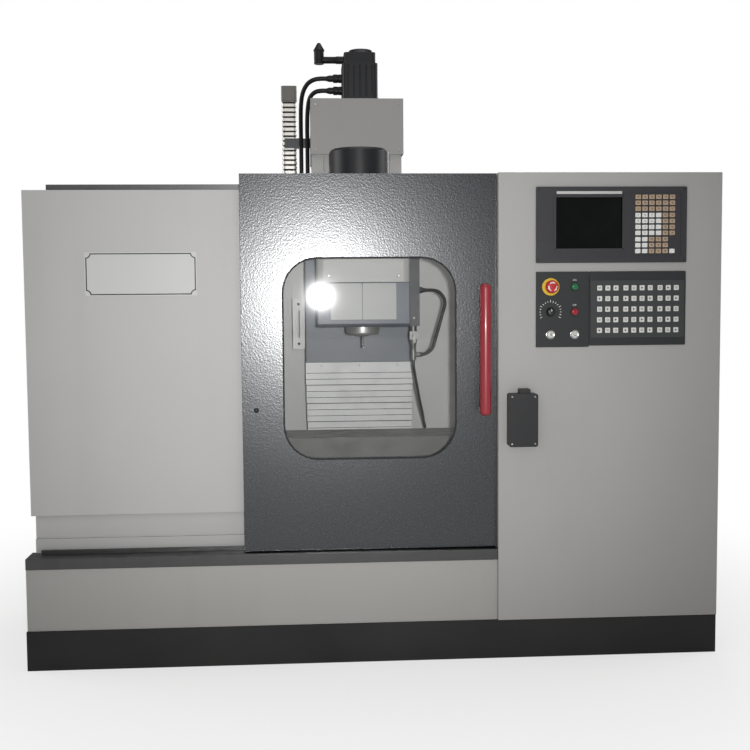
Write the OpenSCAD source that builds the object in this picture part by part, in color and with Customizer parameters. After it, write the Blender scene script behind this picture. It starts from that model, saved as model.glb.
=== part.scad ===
// Milling machine with numerical control in a sheet-metal enclosure.
// Millimetres. X runs to the operator's right, Y to the back and Z up.
// The origin is on the floor under the middle of the machine.

/* [Enclosure] */
// Width over the base
machine_w = 2290; // [2230:5:2380]
// Height of the door and of the control cabinet above the floor
enclosure_h = 1608; // [1590:2:1660]
// Depth from the cabinet's face to the back of the rear walls
enclosure_d = 1000; // [960:5:1040]
// Thickness of folded sheet
sheet = 3; // [2:0.5:4]
// Height of the black plinth
plinth_h = 130; // [110:2:150]
// Height of the grey pan's walls
pan_h = 204; // [180:2:220]
// Height of the steel sill
sill_h = 36; // [30:1:44]
// Drop from the door's top edge to the left panel's top edge
panel_drop = 48; // [44:1:60]
// Height of the recessed strip under the left panel
recess_h = 128; // [110:2:150]
// Depth of the left panel's folded edge
panel_fold = 25; // [18:1:32]

/* [Control cabinet] */
// Width of the control cabinet
cabinet_w = 743; // [720:1:780]
// Depth of the control cabinet
cabinet_d = 200; // [170:5:215]
// Width of the control unit and of the panels under it
unit_w = 500; // [480:2:520]
// Height of the control unit's bezel
unit_h = 247; // [240:1:260]
// Distance from the cabinet's top down to the bezel
unit_drop = 47; // [30:1:60]
// Gap between the bezel and the operator panels
unit_gap = 28; // [16:1:40]
// Width of the switch plate, the left one of the two panels
switch_w = 177; // [172:1:190]
// Height of the operator panels
panel_h = 247; // [240:1:260]

/* [Door] */
// Width of the sliding door
door_w = 837; // [820:1:850]
// Thickness of the sliding door
door_t = 32; // [26:1:36]
// How far the door stands behind the cabinet's face
door_setback = 30; // [20:1:40]
// Width of the window
window_w = 564; // [520:2:600]
// Height of the window
window_h = 657; // [600:2:700]
// Corner radius of the window
window_r = 112; // [60:2:140]
// Height of the window's lower edge above the door's lower edge
window_sill = 304; // [260:2:340]
// Diameter of the red handle
handle_d = 37; // [30:1:42]
// Length of the red handle
handle_len = 428; // [360:2:480]
// Distance from the door's face to the handle's axis
handle_reach = 62; // [54:1:80]
// Distance from the door's right edge to the handle's axis
handle_inset = 46; // [38:1:52]
// Height of the handle's middle above the floor
handle_z = 1034; // [980:2:1090]

/* [Work area] */
// Sideways place of the spindle, column and table from the door's middle
work_shift = -0.5; // [-12:0.5:12]
// Distance from the cabinet's face back to the spindle
spindle_depth = 480; // [470:2:500]
// Distance from the spindle back to the column's ways
throat = 340; // [330:2:370]
// Length of the table
table_l = 1000; // [900:10:1040]
// Width of the table
table_w = 250; // [236:2:260]
// Thickness of the table
table_t = 70; // [60:1:80]
// Height of the table's top
table_z = 705; // [690:1:720]
// Height of the saddle
saddle_h = 105; // [98:1:120]
// Width of a T-slot at the top
slot_w = 14; // [12:1:16]
// Distance from one T-slot to the next
slot_pitch = 63; // [55:1:70]

/* [Head] */
// Width of the spindle box
head_w = 334; // [310:2:350]
// Height of the spindle box
head_h = 161; // [140:1:180]
// Height of the spindle box above the floor
head_z = 1101; // [1090:1:1120]
// Height of the belt housing
belt_h = 218; // [200:2:240]
// Width of the carriage and of its telescopic cover
carriage_w = 422; // [400:2:440]
// How far the carriage hangs below the spindle box
carriage_drop = 148; // [130:2:160]
// Diameter of the spindle motor's cowl
motor_d = 219; // [200:1:230]
// Height of the spindle motor
motor_h = 279; // [260:1:300]
// Diameter of the spindle nose
nose_d = 124; // [110:1:134]
// Height of the spindle nose
nose_h = 30; // [24:1:36]
// Diameter of the spindle
spindle_d = 62; // [50:1:70]
// Diameter of the cutter
tool_d = 8; // [6:0.5:16]
// Length of the cutter outside the spindle
tool_l = 44; // [30:1:50]

/* [Column] */
// Width of the column
column_w = 356; // [340:2:370]
// Depth of the column
column_d = 310; // [300:2:330]
// Height of the column above the floor
column_z = 1900; // [1860:5:1930]
// Height of the column's cap
cap_h = 215; // [190:1:240]
// Width of the servo motor on the column
z_motor_w = 150; // [130:1:160]
// Height of the servo motor on the column
z_motor_h = 216; // [190:1:240]

/* [Rear cabinet] */
// Width of the rear cabinet
rear_w = 660; // [620:5:700]
// Depth of the rear cabinet
rear_d = 320; // [280:5:360]
// Height of the rear cabinet
rear_h = 1050; // [950:5:1060]
// Height of the rear cabinet above the floor
rear_z = 450; // [420:5:460]

/* [Hidden] */
$fn = 48;
eps = 0.01;
// Clearances
slide_gap = 0.3;
turn_gap = 0.3;
edge_gap = 0.5;
run_gap = 6;
seat_gap = 0.15;

// Depth layers
handle_front = handle_reach + handle_d / 2 - door_setback;
front_y = -(spindle_depth + throat + column_d + rear_d - handle_front) / 2;
door_y = front_y + door_setback;
door_back_y = door_y + door_t;
panel_y = door_back_y + run_gap;
panel_back_y = panel_y + panel_fold;
inner_y = panel_back_y + sheet;
pan_y = front_y + 8;
sill_y = pan_y - 4;
sill_back_y = inner_y + 6;
cabinet_back_y = front_y + cabinet_d;
spindle_y = front_y + spindle_depth;
ways_y = spindle_y + throat;
column_back_y = ways_y + column_d;
walls_back_y = front_y + enclosure_d;
rear_back_y = column_back_y + rear_d;

// Heights
pan_top = plinth_h + pan_h;
sill_top = pan_top + sill_h;
door_z = sill_top + 4;
door_h = enclosure_h - door_z;
window_z = door_z + window_sill + window_h / 2;
panel_z = sill_top + recess_h;
panel_top = enclosure_h - panel_drop;
rail_z = panel_top - 20;
rail_h = 40;
runner_w = 60;
runner_span = 600;

// Sideways places
side = machine_w / 2;
base_x = side - 3;
panel_x = side - 10;
wall_x = side - 19;
cabinet_x = side - cabinet_w;
door_right = cabinet_x - 1;
door_mid = door_right - door_w / 2;
door_left = door_right - door_w;
work_x = door_mid + work_shift;
jamb_x = door_left + 40;
handle_x = door_right - handle_inset;
post_z = handle_len / 2 - 14;
post_d = 14;
post_stud = 8;

// Bed, saddle and table
way_h = 30;
way_w = 60;
way_x = 150;
bed_w = 480;
bed_wall = 40;
deck_z = table_z - table_t - saddle_h - way_h;
y_stroke = 125;
saddle_l = table_w + 20;
saddle_w = 460;
bed_y = spindle_y - saddle_l / 2 - y_stroke - 40;
foot_w = 90;
foot_l = 120;
foot_h = 45;
anchor_d = 18;
rail_w = 50;
rail_y = table_w / 2 - rail_w / 2 - 15;
x_rail_h = 30;
screw_d = 25;
screw_z = table_z - table_t - 36;
bracket_t = 40;
bracket_w = 120;
bracket_h = 96;
x_motor_w = 110;
x_motor_l = 170;

// Head
carriage_t = 70;
carriage_y = ways_y - carriage_t - slide_gap;
carriage_z = head_z - carriage_drop;
head_front_y = spindle_y - 105;
head_top = head_z + head_h;
belt_top = head_top + belt_h;
motor_y = spindle_y + 120;
cartridge_d = nose_d - 24;
shank_l = 40;
duct_w = 42;
hose_d = 12;
hose_bend = 49;
duct_d = 60;
duct_x = work_x + head_w / 2;
slats = 5;
slat_t = 1.5;
slat_step = slat_t + edge_gap;
slat_h = 90;
slat_pitch = (carriage_z - deck_z - slat_h) / slats;

// Column top
cap_top = column_z + 80;
z_motor_x = work_x + 18;
z_motor_y = ways_y + 80;
conduit_w = 62;
conduit_d = 40;
conduit_x = work_x - 268;
conduit_y = column_back_y + 30;
conduit_z = rear_z + rear_h;
conduit_h = cap_top + 120 - conduit_z;

// Panels
unit_x = cabinet_x + 123 + unit_w / 2;
unit_z = enclosure_h - unit_drop - unit_h / 2;
plate_t = 4;
plate_z = unit_z - unit_h / 2 - unit_gap - panel_h / 2;
plate_y = front_y - plate_t;
bezel_t = 6;
bezel_y = front_y - bezel_t;
screen_w = 224;
screen_h = 171;
screen_x = unit_x - 75;
screen_z = unit_z + 6;
keypad_w = 163;
keypad_h = 207;
keypad_x = unit_x + unit_w / 2 - keypad_w / 2 - 19.5;
slot_cover_w = 43;
slot_cover_h = 103;
slot_cover_x = unit_x - unit_w / 2 + slot_cover_w / 2 + 5.5;
soft_pitch = 34.6;
soft_w = 22;
soft_h = 11;
switch_x = unit_x - unit_w / 2 + switch_w / 2;
keys_x = unit_x + switch_w / 2;
left_col = switch_x - 40;
right_col = switch_x + 40;
top_row = plate_z + 74;
mid_row = plate_z - 8;
low_row = plate_z - 82;
estop_d = 43;
estop_stem = 24;
estop_travel = 6;
collar_d = 57;
knob_d = 31;
knob_stem = 10;
button_d = 22;
button_ring = 29;
button_travel = 4;
key_pitch_x = 22.8;
key_pitch_z = 19.3;
key_w = 18;
key_h = 14.5;
pad_key = 16.6;

// Rear cabinet
rear_door_t = 28;
rear_split_y = rear_back_y - rear_door_t;
rear_left = work_x - rear_w / 2;
rear_right = work_x + rear_w / 2;
hinge_x = rear_right + 7;
rack_edge = 30;
drive_w = 80;
drive_h = 240;
drive_d = 185;
drive_pitch = 110;
drive_x = rear_left + 80;
drive_z = rear_z + 560;
fin_pitch = 15;
supply_w = 150;
supply_h = 320;
supply_d = 170;
choke_w = 220;
choke_h = 180;
choke_d = 150;
relay_w = 34;
relay_h = 90;
relay_d = 80;
relay_pitch = 40;

// Box between two corners
module span(a, b) { translate(a) cube(b - a); }

// Cylinder along Y whose front end is at p
module y_rod(p, d, l) { translate(p) rotate([-90, 0, 0]) cylinder(d = d, h = l); }

// Cylinder along X whose left end is at p
module x_rod(p, d, l) { translate(p) rotate([0, 90, 0]) cylinder(d = d, h = l); }

// Flat rounded rectangle about the middle
module round_rect(w, h, r) {
  square([w - 2 * r, h], center = true);
  square([w, h - 2 * r], center = true);
  for (x = [-1, 1], z = [-1, 1]) translate([x * (w / 2 - r), z * (h / 2 - r)]) circle(r);
}

// Upright rounded plate: its front face is at p and it runs t towards the back
module y_plate(p, w, h, r, t) {
  translate([p[0], p[1] + t, p[2]]) rotate([90, 0, 0]) linear_extrude(t) round_rect(w, h, r);
}

// Folded tray between two corners, open at the back
module tray(a, b) {
  difference() {
    span(a, b);
    span(a + [sheet, sheet, sheet], b + [-sheet, eps, -sheet]);
  }
}

// Tube along a route; across is a direction that the route never takes
function unit(v) = v / norm(v);
function aim(path, i) = unit(path[min(i + 1, len(path) - 1)] - path[max(i - 1, 0)]);
module route(path, d, sides = 12, across = [0, 1, 0]) {
  rings = [
    for (i = [0:len(path) - 1])
      let (t = aim(path, i), n = unit(cross(t, across)), b = cross(t, n))
        for (k = [0:sides - 1])
          path[i] + d / 2 * (cos(360 * k / sides) * n + sin(360 * k / sides) * b)
  ];
  last = (len(path) - 1) * sides;
  polyhedron(rings, concat(
    [[for (k = [0:sides - 1]) k]],
    [for (i = [0:len(path) - 2], k = [0:sides - 1]) let (a = i * sides, m = (k + 1) % sides)
      [a + k, a + sides + k, a + sides + m, a + m]],
    [[for (k = [sides - 1:-1:0]) last + k]]
  ));
}

// Plan of the base pan with its walls moved in by i
module pan_plan(i) {
  polygon([
    [-base_x + i, pan_y + i], [cabinet_x - i, pan_y + i], [cabinet_x - i, cabinet_back_y + i],
    [base_x - i, cabinet_back_y + i], [base_x - i, walls_back_y - i], [-base_x + i, walls_back_y - i]
  ]);
}

// Space that the bed takes out of the pan and the plinth
module bed_space(gap) {
  span([work_x - bed_w / 2 - gap, bed_y - gap, -1], [work_x + bed_w / 2 + gap, rear_back_y, pan_top + 1]);
}

module bed_casting() {
  color("dimgray") difference() {
    union() {
      span([work_x - bed_w / 2, bed_y, 0], [work_x + bed_w / 2, column_back_y, deck_z]);
      for (x = [-way_x, way_x])
        span([work_x + x - way_w / 2, bed_y + 20, deck_z - eps],
          [work_x + x + way_w / 2, spindle_y + saddle_l / 2 + y_stroke, deck_z + way_h]);
      for (y = [bed_y + 100, column_back_y - 100])
        span([work_x - bed_w / 2 - foot_w, y - foot_l / 2, 0],
          [work_x + bed_w / 2 + foot_w, y + foot_l / 2, foot_h]);
    }
    span([work_x - bed_w / 2 + bed_wall, bed_y + bed_wall, -1],
      [work_x + bed_w / 2 - bed_wall, column_back_y - bed_wall, deck_z - bed_wall]);
    for (x = [-1, 1], y = [bed_y + 100, column_back_y - 100])
      translate([work_x + x * (bed_w + foot_w) / 2, y, -1]) cylinder(d = anchor_d, h = foot_h + 2);
  }
}

module plinth() {
  y0 = front_y + 4;
  color([0.12, 0.12, 0.13]) difference() {
    span([-side, y0, 0], [side, walls_back_y, plinth_h]);
    span([-side + sheet, y0 + sheet, sheet], [side - sheet, walls_back_y - sheet, plinth_h - sheet]);
    span([-side + 40, y0 + 40, -1], [side - 40, walls_back_y - 40, plinth_h + 1]);
    bed_space(edge_gap);
    for (x = [-1, 1], y = [bed_y + 100, column_back_y - 100])
      span([work_x + x * (bed_w + foot_w) / 2 - foot_w / 2 - 1, y - foot_l / 2 - 1, -1],
        [work_x + x * (bed_w + foot_w) / 2 + foot_w / 2 + 1, y + foot_l / 2 + 1, foot_h + 1]);
  }
}

module chip_pan() {
  color("silver") difference() {
    translate([0, 0, plinth_h]) linear_extrude(pan_h) pan_plan(0);
    translate([0, 0, plinth_h + sheet]) linear_extrude(pan_h - 2 * sheet) pan_plan(sheet);
    translate([0, 0, pan_top - 2 * sheet]) linear_extrude(3 * sheet) pan_plan(30);
    bed_space(edge_gap);
  }
}

module door_sill() {
  color("lightgray") difference() {
    union() {
      span([-base_x, sill_y, pan_top], [cabinet_x, sill_back_y, sill_top]);
      span([-wall_x + 20, panel_y + 2, sill_top - eps], [cabinet_x, panel_y + 8, sill_top + 14]);
    }
    span([-base_x - 1, sill_y + sheet, pan_top + sheet],
      [cabinet_x + 1, sill_back_y + 1, sill_top - sheet]);
    span([-base_x - 1, pan_y + 30, pan_top - 1], [cabinet_x + 1, sill_back_y + 1, pan_top + sheet + eps]);
  }
}

module left_front_panel() {
  color("gainsboro") tray([-panel_x, panel_y, panel_z], [jamb_x, panel_back_y, panel_top]);
}

module side_walls() {
  color("gainsboro") {
    translate([-wall_x, 0, 0]) rotate([90, 0, 90]) linear_extrude(sheet) polygon([
      [sill_back_y, pan_top], [walls_back_y, pan_top], [walls_back_y, rail_z], [panel_back_y, rail_z],
      [panel_back_y, sill_top], [sill_back_y, sill_top]
    ]);
    span([-wall_x, panel_back_y, sill_top], [jamb_x, inner_y, rail_z]);
    span([-wall_x, panel_back_y - 8, sill_top], [jamb_x, panel_back_y + eps, sill_top + 48]);
    span([wall_x - sheet, cabinet_back_y, pan_top], [wall_x, walls_back_y, rail_z]);
  }
}

module rear_splash_walls() {
  y0 = walls_back_y - sheet;
  color("whitesmoke") {
    for (x = [-1, 1]) difference() {
      span([x < 0 ? -wall_x + sheet : work_x + column_w / 2 + edge_gap, y0, pan_top],
        [x < 0 ? work_x - column_w / 2 - edge_gap : wall_x - sheet, walls_back_y, rail_z]);
      span([work_x - bed_w / 2 - edge_gap, y0 - 1, pan_top - 1],
        [work_x + bed_w / 2 + edge_gap, walls_back_y + 1, deck_z + 1]);
    }
    for (x = [-1, 1])
      span([x < 0 ? -wall_x + sheet : work_x + column_w / 2 + edge_gap, y0 - 24, rail_z - sheet],
        [x < 0 ? work_x - column_w / 2 - edge_gap : wall_x - sheet, y0 + eps, rail_z]);
    y_rod([work_x + 290, y0 - 18, table_z - 75], 22, 18 + eps);
  }
}

module door_top_rail() {
  x0 = -panel_x + 72;
  color("lightgray") difference() {
    span([x0, panel_back_y, rail_z], [cabinet_x, panel_back_y + 44, rail_z + rail_h]);
    span([x0 - 1, panel_back_y + sheet, rail_z + sheet],
      [cabinet_x + 1, panel_back_y + 44 - sheet, rail_z + rail_h + 1]);
  }
}

module column() {
  color("silver") difference() {
    union() {
      span([work_x - column_w / 2, ways_y + 8, deck_z], [work_x + column_w / 2, column_back_y, column_z]);
      for (x = [-1, 1])
        span([work_x + x * (column_w / 2 - 24) - 24, ways_y, deck_z],
          [work_x + x * (column_w / 2 - 24) + 24, ways_y + 9, column_z - 100]);
      span([z_motor_x - 85, z_motor_y - 65, column_z - eps], [z_motor_x + 85, z_motor_y + 105, cap_top]);
    }
    span([work_x - column_w / 2 + 32, ways_y + 40, deck_z - 1],
      [work_x + column_w / 2 - 32, column_back_y - 32, column_z - 40]);
    for (z = [deck_z + 160, deck_z + 480, deck_z + 800])
      y_plate([work_x, column_back_y - 33, z + 90], 180, 220, 40, 34);
  }
}

module column_cap() {
  x0 = work_x - column_w / 2;
  x1 = work_x + column_w / 2;
  y0 = carriage_y + 10;
  y1 = column_back_y - 60;
  color("silver") difference() {
    span([x0 - sheet, y0, cap_top - cap_h], [x1 + sheet, y1, cap_top]);
    span([x0, y0 + sheet, cap_top - cap_h - 1], [x1, y1 + 1, cap_top - sheet]);
    span([z_motor_x - 85, z_motor_y - 65, cap_top - 10], [z_motor_x + 85, z_motor_y + 105, cap_top + 1]);
  }
}

module z_servo_motor() {
  w = z_motor_w;
  y = z_motor_y + 20;
  color([0.1, 0.1, 0.11]) difference() {
    union() {
      span([z_motor_x - w / 2, y - w / 2, cap_top], [z_motor_x + w / 2, y + w / 2, cap_top + 16]);
      translate([z_motor_x, y, cap_top + 15]) linear_extrude(z_motor_h - 75) round_rect(w - 8, w - 8, 18);
      translate([z_motor_x, y, cap_top + z_motor_h - 61]) linear_extrude(44) round_rect(w - 24, w - 24, 16);
      translate([z_motor_x + 6, y, cap_top + z_motor_h - 18]) cylinder(d1 = w - 40, d2 = w - 58, h = 18);
    }
    for (s = [-1, 1], k = [-2:2])
      span([z_motor_x + k * 24 - 3, y + s * (w / 2 - 4) - 4, cap_top + 24],
        [z_motor_x + k * 24 + 3, y + s * (w / 2 - 4) + 4, cap_top + z_motor_h - 70]);
  }
}

module z_motor_leads() {
  x = z_motor_x - z_motor_w / 2 + 4;
  y = z_motor_y + 20;
  color([0.09, 0.09, 0.1]) {
    for (z = [cap_top + 58, cap_top + 106]) {
      x_rod([x - 34, y, z], 34, 34);
      x_rod([x - 62, y, z], 26, 30);
    }
    route([
      [x - 60, y, cap_top + 106], [x - 84, y, cap_top + 106], [x - 112, y + 4, cap_top + 102],
      [x - 138, y + 20, cap_top + 88], [x - 156, y + 50, cap_top + 60], [x - 164, y + 90, cap_top + 20],
      [x - 166, y + 140, cap_top - 40], [x - 166, y + 190, cap_top - 120],
        [x - 166, y + 225, cap_top - 220],
      [x - 166, y + 240, cap_top - 340], [x - 166, y + 245, conduit_z + 40], [x - 166, y + 245, conduit_z]
    ], 18);
    route([
      [x - 60, y, cap_top + 58], [x - 82, y, cap_top + 58], [x - 106, y + 6, cap_top + 54],
      [x - 126, y + 24, cap_top + 38], [x - 136, y + 60, cap_top + 6], [x - 140, y + 110, cap_top - 50],
      [x - 140, y + 170, cap_top - 140], [x - 140, y + 215, cap_top - 260],
        [x - 140, y + 245, conduit_z + 60],
      [x - 140, y + 245, conduit_z]
    ], 18);
    translate([x - 60, y - 10, cap_top + z_motor_h - 39]) {
      x_rod([-30, 0, 0], 30, 98);
      translate([-30, 0, -16]) cylinder(d = 40, h = 52);
      translate([-30, 0, 36 - eps]) cylinder(d1 = 46, d2 = 12, h = 31 + eps);
    }
  }
}

module cable_conduit() {
  n = floor(conduit_h / 20);
  color("lightgray") difference() {
    union() {
      translate([conduit_x, conduit_y, conduit_z])
        linear_extrude(conduit_h) round_rect(conduit_w - 8, conduit_d - 8, 10);
      for (k = [1:n - 1]) translate([conduit_x, conduit_y, conduit_z + k * 20 - 6])
        linear_extrude(12) round_rect(conduit_w, conduit_d, 14);
      translate([conduit_x, conduit_y, conduit_z])
        linear_extrude(12) round_rect(conduit_w + 8, conduit_d + 8, 14);
      translate([conduit_x, conduit_y, conduit_z + conduit_h - 60])
        linear_extrude(60) round_rect(conduit_w + 4, conduit_d + 4, 14);
    }
  }
}

module conduit_bracket() {
  x0 = conduit_x + conduit_w / 2 + 2;
  x1 = work_x - column_w / 2;
  color([0.16, 0.16, 0.18]) {
    span([conduit_x - 20, conduit_y - conduit_d / 2 - 6, column_z - 60],
      [x1, conduit_y - conduit_d / 2 - 2, column_z - 20]);
    span([x1 - 4, column_back_y - 60, column_z - 140], [x1, conduit_y - conduit_d / 2 - 2, column_z - 20]);
    span([x0, conduit_y - conduit_d / 2 - 6, column_z - 62], [x0 + 6, conduit_y, column_z - 18]);
    span([conduit_x - 20, conduit_y - conduit_d / 2 - 3, column_z - 60],
      [conduit_x + 20, conduit_y - conduit_d / 2, column_z - 20]);
  }
}

// One piece of the telescopic cover; k counts down from the carriage
module cover_slat(k) {
  h = carriage_w / 2 - k * slat_step;
  y0 = carriage_y + 2 + k * slat_step;
  z1 = carriage_z - k * slat_pitch;
  difference() {
    span([work_x - h, y0, z1 - slat_h], [work_x + h, ways_y - 4, z1]);
    span([work_x - h + slat_t, y0 + slat_t, z1 - slat_h - 1], [work_x + h - slat_t, ways_y, z1 + 1]);
    for (n = [1, 2])
      span([work_x - h - 1, y0 - 1, z1 - slat_h + n * slat_pitch / 3 - 1],
        [work_x + h + 1, y0 + 0.6, z1 - slat_h + n * slat_pitch / 3 + 1]);
  }
}

module z_cover_top() { color("silver") cover_slat(0); }
module z_cover_slat_1() { color("silver") cover_slat(1); }
module z_cover_slat_2() { color("silver") cover_slat(2); }
module z_cover_slat_3() { color("silver") cover_slat(3); }
module z_cover_slat_4() { color("silver") cover_slat(4); }
module z_cover_bottom() { color("silver") cover_slat(5); }

module trip_rail() {
  x1 = work_x - column_w / 2;
  x0 = work_x - carriage_w / 2 - 50;
  z0 = head_z - 98;
  color("lightgray") difference() {
    union() {
      span([x0, ways_y + 8, z0], [x1, ways_y + 14, z0 + 202]);
      span([x1 - 6, ways_y + 8, z0], [x1, ways_y + 60, z0 + 202]);
    }
    y_plate([x0 + 24, ways_y + 7, z0 + 101], 9, 110, 4.4, 8);
    for (z = [22, 180]) y_rod([x0 + 24, ways_y + 7, z0 + z], 8, 8);
  }
}

module control_cabinet() {
  a = [cabinet_x, front_y, plinth_h];
  b = [side, cabinet_back_y, enclosure_h];
  color("silver") difference() {
    span(a, b);
    span(a + [sheet, sheet, sheet], b - [sheet, sheet, sheet]);
    span([unit_x - unit_w / 2 + 25, front_y - 1, unit_z - unit_h / 2 + 18],
      [unit_x + unit_w / 2 - 25, front_y + sheet + 1, unit_z + unit_h / 2 - 18]);
    span([unit_x - unit_w / 2 + 12, front_y - 1, plate_z - panel_h / 2 + 12],
      [unit_x + unit_w / 2 - 12, front_y + sheet + 1, plate_z + panel_h / 2 - 12]);
  }
}

module nc_unit() {
  color([0.28, 0.28, 0.3]) difference() {
    union() {
      y_plate([unit_x, bezel_y, unit_z], unit_w, unit_h, 4, bezel_t);
      span([unit_x - unit_w / 2 + 30, front_y - eps, unit_z - unit_h / 2 + 22],
        [unit_x + unit_w / 2 - 30, front_y + 80, unit_z + unit_h / 2 - 22]);
      y_plate([slot_cover_x, bezel_y - 2, unit_z], slot_cover_w, slot_cover_h, 3, 3);
      for (k = [-3:3])
        y_plate([screen_x + 4.8 + k * soft_pitch, bezel_y - 1.5, unit_z - unit_h / 2 + 24.5],
          soft_w, soft_h, 2, 3);
    }
    y_plate([screen_x, bezel_y - 1, screen_z], screen_w, screen_h, 4, 11);
    y_plate([keypad_x, bezel_y - 1, unit_z + 2], keypad_w, keypad_h, 4, 3);
    for (x = [-1, 1], z = [-1, 1])
      y_rod([unit_x + x * (unit_w / 2 - 9), bezel_y - 1, unit_z + z * (unit_h / 2 - 9)], 6, 3);
  }
}

module nc_screen() {
  color([0.06, 0.07, 0.07]) y_plate([screen_x, bezel_y + 6, screen_z],
    screen_w - 2 * edge_gap, screen_h - 2 * edge_gap, 4, 4);
}

// Keypad rows are counted from the top, with a wider gap after the third and the seventh
function key_z(r) = unit_z + 90 - r * key_pitch_z - (r > 2 ? 1.2 : 0) - (r > 6 ? 1.2 : 0);
function key_x(c) = keypad_x - 62 + c * key_pitch_x;
function is_white(r, c) = (r > 2 && r < 7 && c < 4) || (r > 6 && c < 2) || (r == 9 && c == 5);
module nc_keys() {
  for (r = [0:9], c = [0:5]) if (!((r == 7 || r == 8) && c == 5))
    color(is_white(r, c) ? "white" : "tan")
      y_plate([key_x(c), bezel_y - 1, key_z(r)], key_w, key_h, 2, 3);
}

module operator_plates() {
  color([0.19, 0.19, 0.2]) {
    difference() {
      union() {
        y_plate([switch_x, plate_y, plate_z], switch_w - 1, panel_h, 3, plate_t);
        for (z = [top_row, mid_row, low_row]) y_rod([right_col, plate_y - 3, z], button_ring, 4);
        y_rod([left_col, plate_y - 3, low_row], button_ring, 4);
      }
      y_rod([left_col, plate_y - 5, top_row], estop_stem + 2 * turn_gap, 12);
      y_rod([left_col, plate_y - 5, mid_row], knob_stem + 2 * turn_gap, 12);
      for (z = [top_row, mid_row, low_row]) y_rod([right_col, plate_y - 5, z], button_d + 2 * turn_gap, 12);
      y_rod([left_col, plate_y - 5, low_row], button_d + 2 * turn_gap, 12);
    }
    y_plate([keys_x, plate_y, plate_z + 2], unit_w - switch_w - 1, panel_h - 4, 3, plate_t);
  }
}

// Columns of the key plate stand in three blocks
function pad_x(c) = keys_x - 127 + c * 27.1 + (c > 2 ? 6 : 0) + (c > 6 ? 6 : 0);
module operator_keys() {
  color("gainsboro") for (r = [0:4], c = [0:9])
    y_plate([pad_x(c), plate_y - 1.5, plate_z + 69 - r * 34.7], pad_key, pad_key, 2, 1.5);
}

module estop_collar() {
  color("gold") difference() {
    y_rod([left_col, plate_y - 4, top_row], collar_d, 4);
    y_rod([left_col, plate_y - 5, top_row], estop_stem + 2 * turn_gap, 6);
  }
}

// Turned piece on an axis that points to the front; the outline is radius and height over p
module y_turned(p, outline) { translate(p) rotate([90, 0, 0]) rotate_extrude() polygon(outline); }

module estop_button() {
  r = estop_d / 2;
  color("red") y_turned([left_col, plate_y - 4 - estop_travel - 4, top_row], [
    [0, -plate_t - estop_travel - 39], [estop_stem / 2, -plate_t - estop_travel - 39], [estop_stem / 2, 0],
    [r - 2.5, 0], [r - 1, 0.8], [r, 3], [r, 9], [r - 0.5, 13], [r - 2.5, 16], [r - 6, 17.8],
    [r - 11.5, 18.7], [0, 19]
  ]);
}

module override_knob() {
  r = knob_d / 2;
  color([0.08, 0.08, 0.09]) y_turned([left_col, plate_y - slide_gap, mid_row], [
    [0, -29], [knob_stem / 2, -29], [knob_stem / 2, 0], [r, 0], [r, 2.8], [r - 0.3, 3.8],
    [r - 1.5, 4.4], [r - 2.3, 6.2], [r - 3.6, 16.8], [r - 4.3, 18.3], [r - 6, 19], [0, 19]
  ]);
}

// Push button in a ring; the domed lens stands proud of the ring
module push_button(x, z) {
  r = button_d / 2;
  h = 3 + button_travel + 1;
  y_turned([x, plate_y, z], [
    [0, -26], [r, -26], [r, h - 4], [r - 0.1, h - 2.4], [r - 1.2, h - 1], [r - 4, h - 0.2], [0, h]
  ]);
}
module start_button() { color("green") push_button(right_col, top_row); }
module stop_button() { color("red") push_button(right_col, mid_row); }
module hold_button() { color("ivory") push_button(left_col, low_row); }
module cycle_button() { color("ivory") push_button(right_col, low_row); }

module switch_box() {
  x0 = cabinet_x + 28;
  z0 = plate_z - 446;
  color([0.1, 0.1, 0.11]) difference() {
    union() {
      y_plate([x0 + 47.5, front_y - 46, z0 + 87], 95, 174, 8, 46);
      y_plate([x0 + 54, front_y - 34, z0 + 174], 36, 30, 4, 34);
    }
    for (x = [10, 85], z = [10, 164]) y_rod([x0 + x, front_y - 47, z0 + z], 6, 4);
    span([x0 - 1, front_y - 31, z0 - 1], [x0 + 1, front_y - 29, z0 + 190]);
    span([x0 + 94, front_y - 31, z0 - 1], [x0 + 96, front_y - 29, z0 + 190]);
  }
}

module door_panel() {
  color([0.27, 0.28, 0.31]) difference() {
    tray([door_left, door_y, door_z], [door_right, door_back_y, door_z + door_h]);
    y_plate([door_mid, door_y - 1, window_z], window_w, window_h, window_r, sheet + 2);
    for (s = [-1, 1])
      y_rod([handle_x, door_y - 1, handle_z + s * post_z], post_stud + 2 * turn_gap, sheet + 2);
  }
}

module window_pane() {
  color([0.7, 0.78, 0.8, 0.35])
    y_plate([door_mid, door_y + sheet, window_z], window_w + 40, window_h + 40, window_r + 20, 5);
}

module door_handle() {
  r = handle_d / 2;
  y = door_y - handle_reach;
  color("firebrick") difference() {
    translate([handle_x, y, handle_z - handle_len / 2]) rotate_extrude() polygon([
      [0, 0], [r - 7, 0], [r - 2, 3], [r, 9], [r, handle_len - 9], [r - 2, handle_len - 3],
      [r - 7, handle_len], [0, handle_len]
    ]);
    for (s = [-1, 1]) y_rod([handle_x, y, handle_z + s * post_z], post_d + 2 * seat_gap, handle_d);
  }
}

module handle_posts() {
  color("silver") for (s = [-1, 1]) translate([handle_x, door_y, handle_z + s * post_z]) {
    y_rod([0, -handle_reach, 0], post_d, handle_reach);
    y_rod([0, -4, 0], 24, 4);
    y_rod([0, -1, 0], post_stud, sheet + 2);
    y_rod([0, sheet, 0], 16, 6);
  }
}

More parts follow.
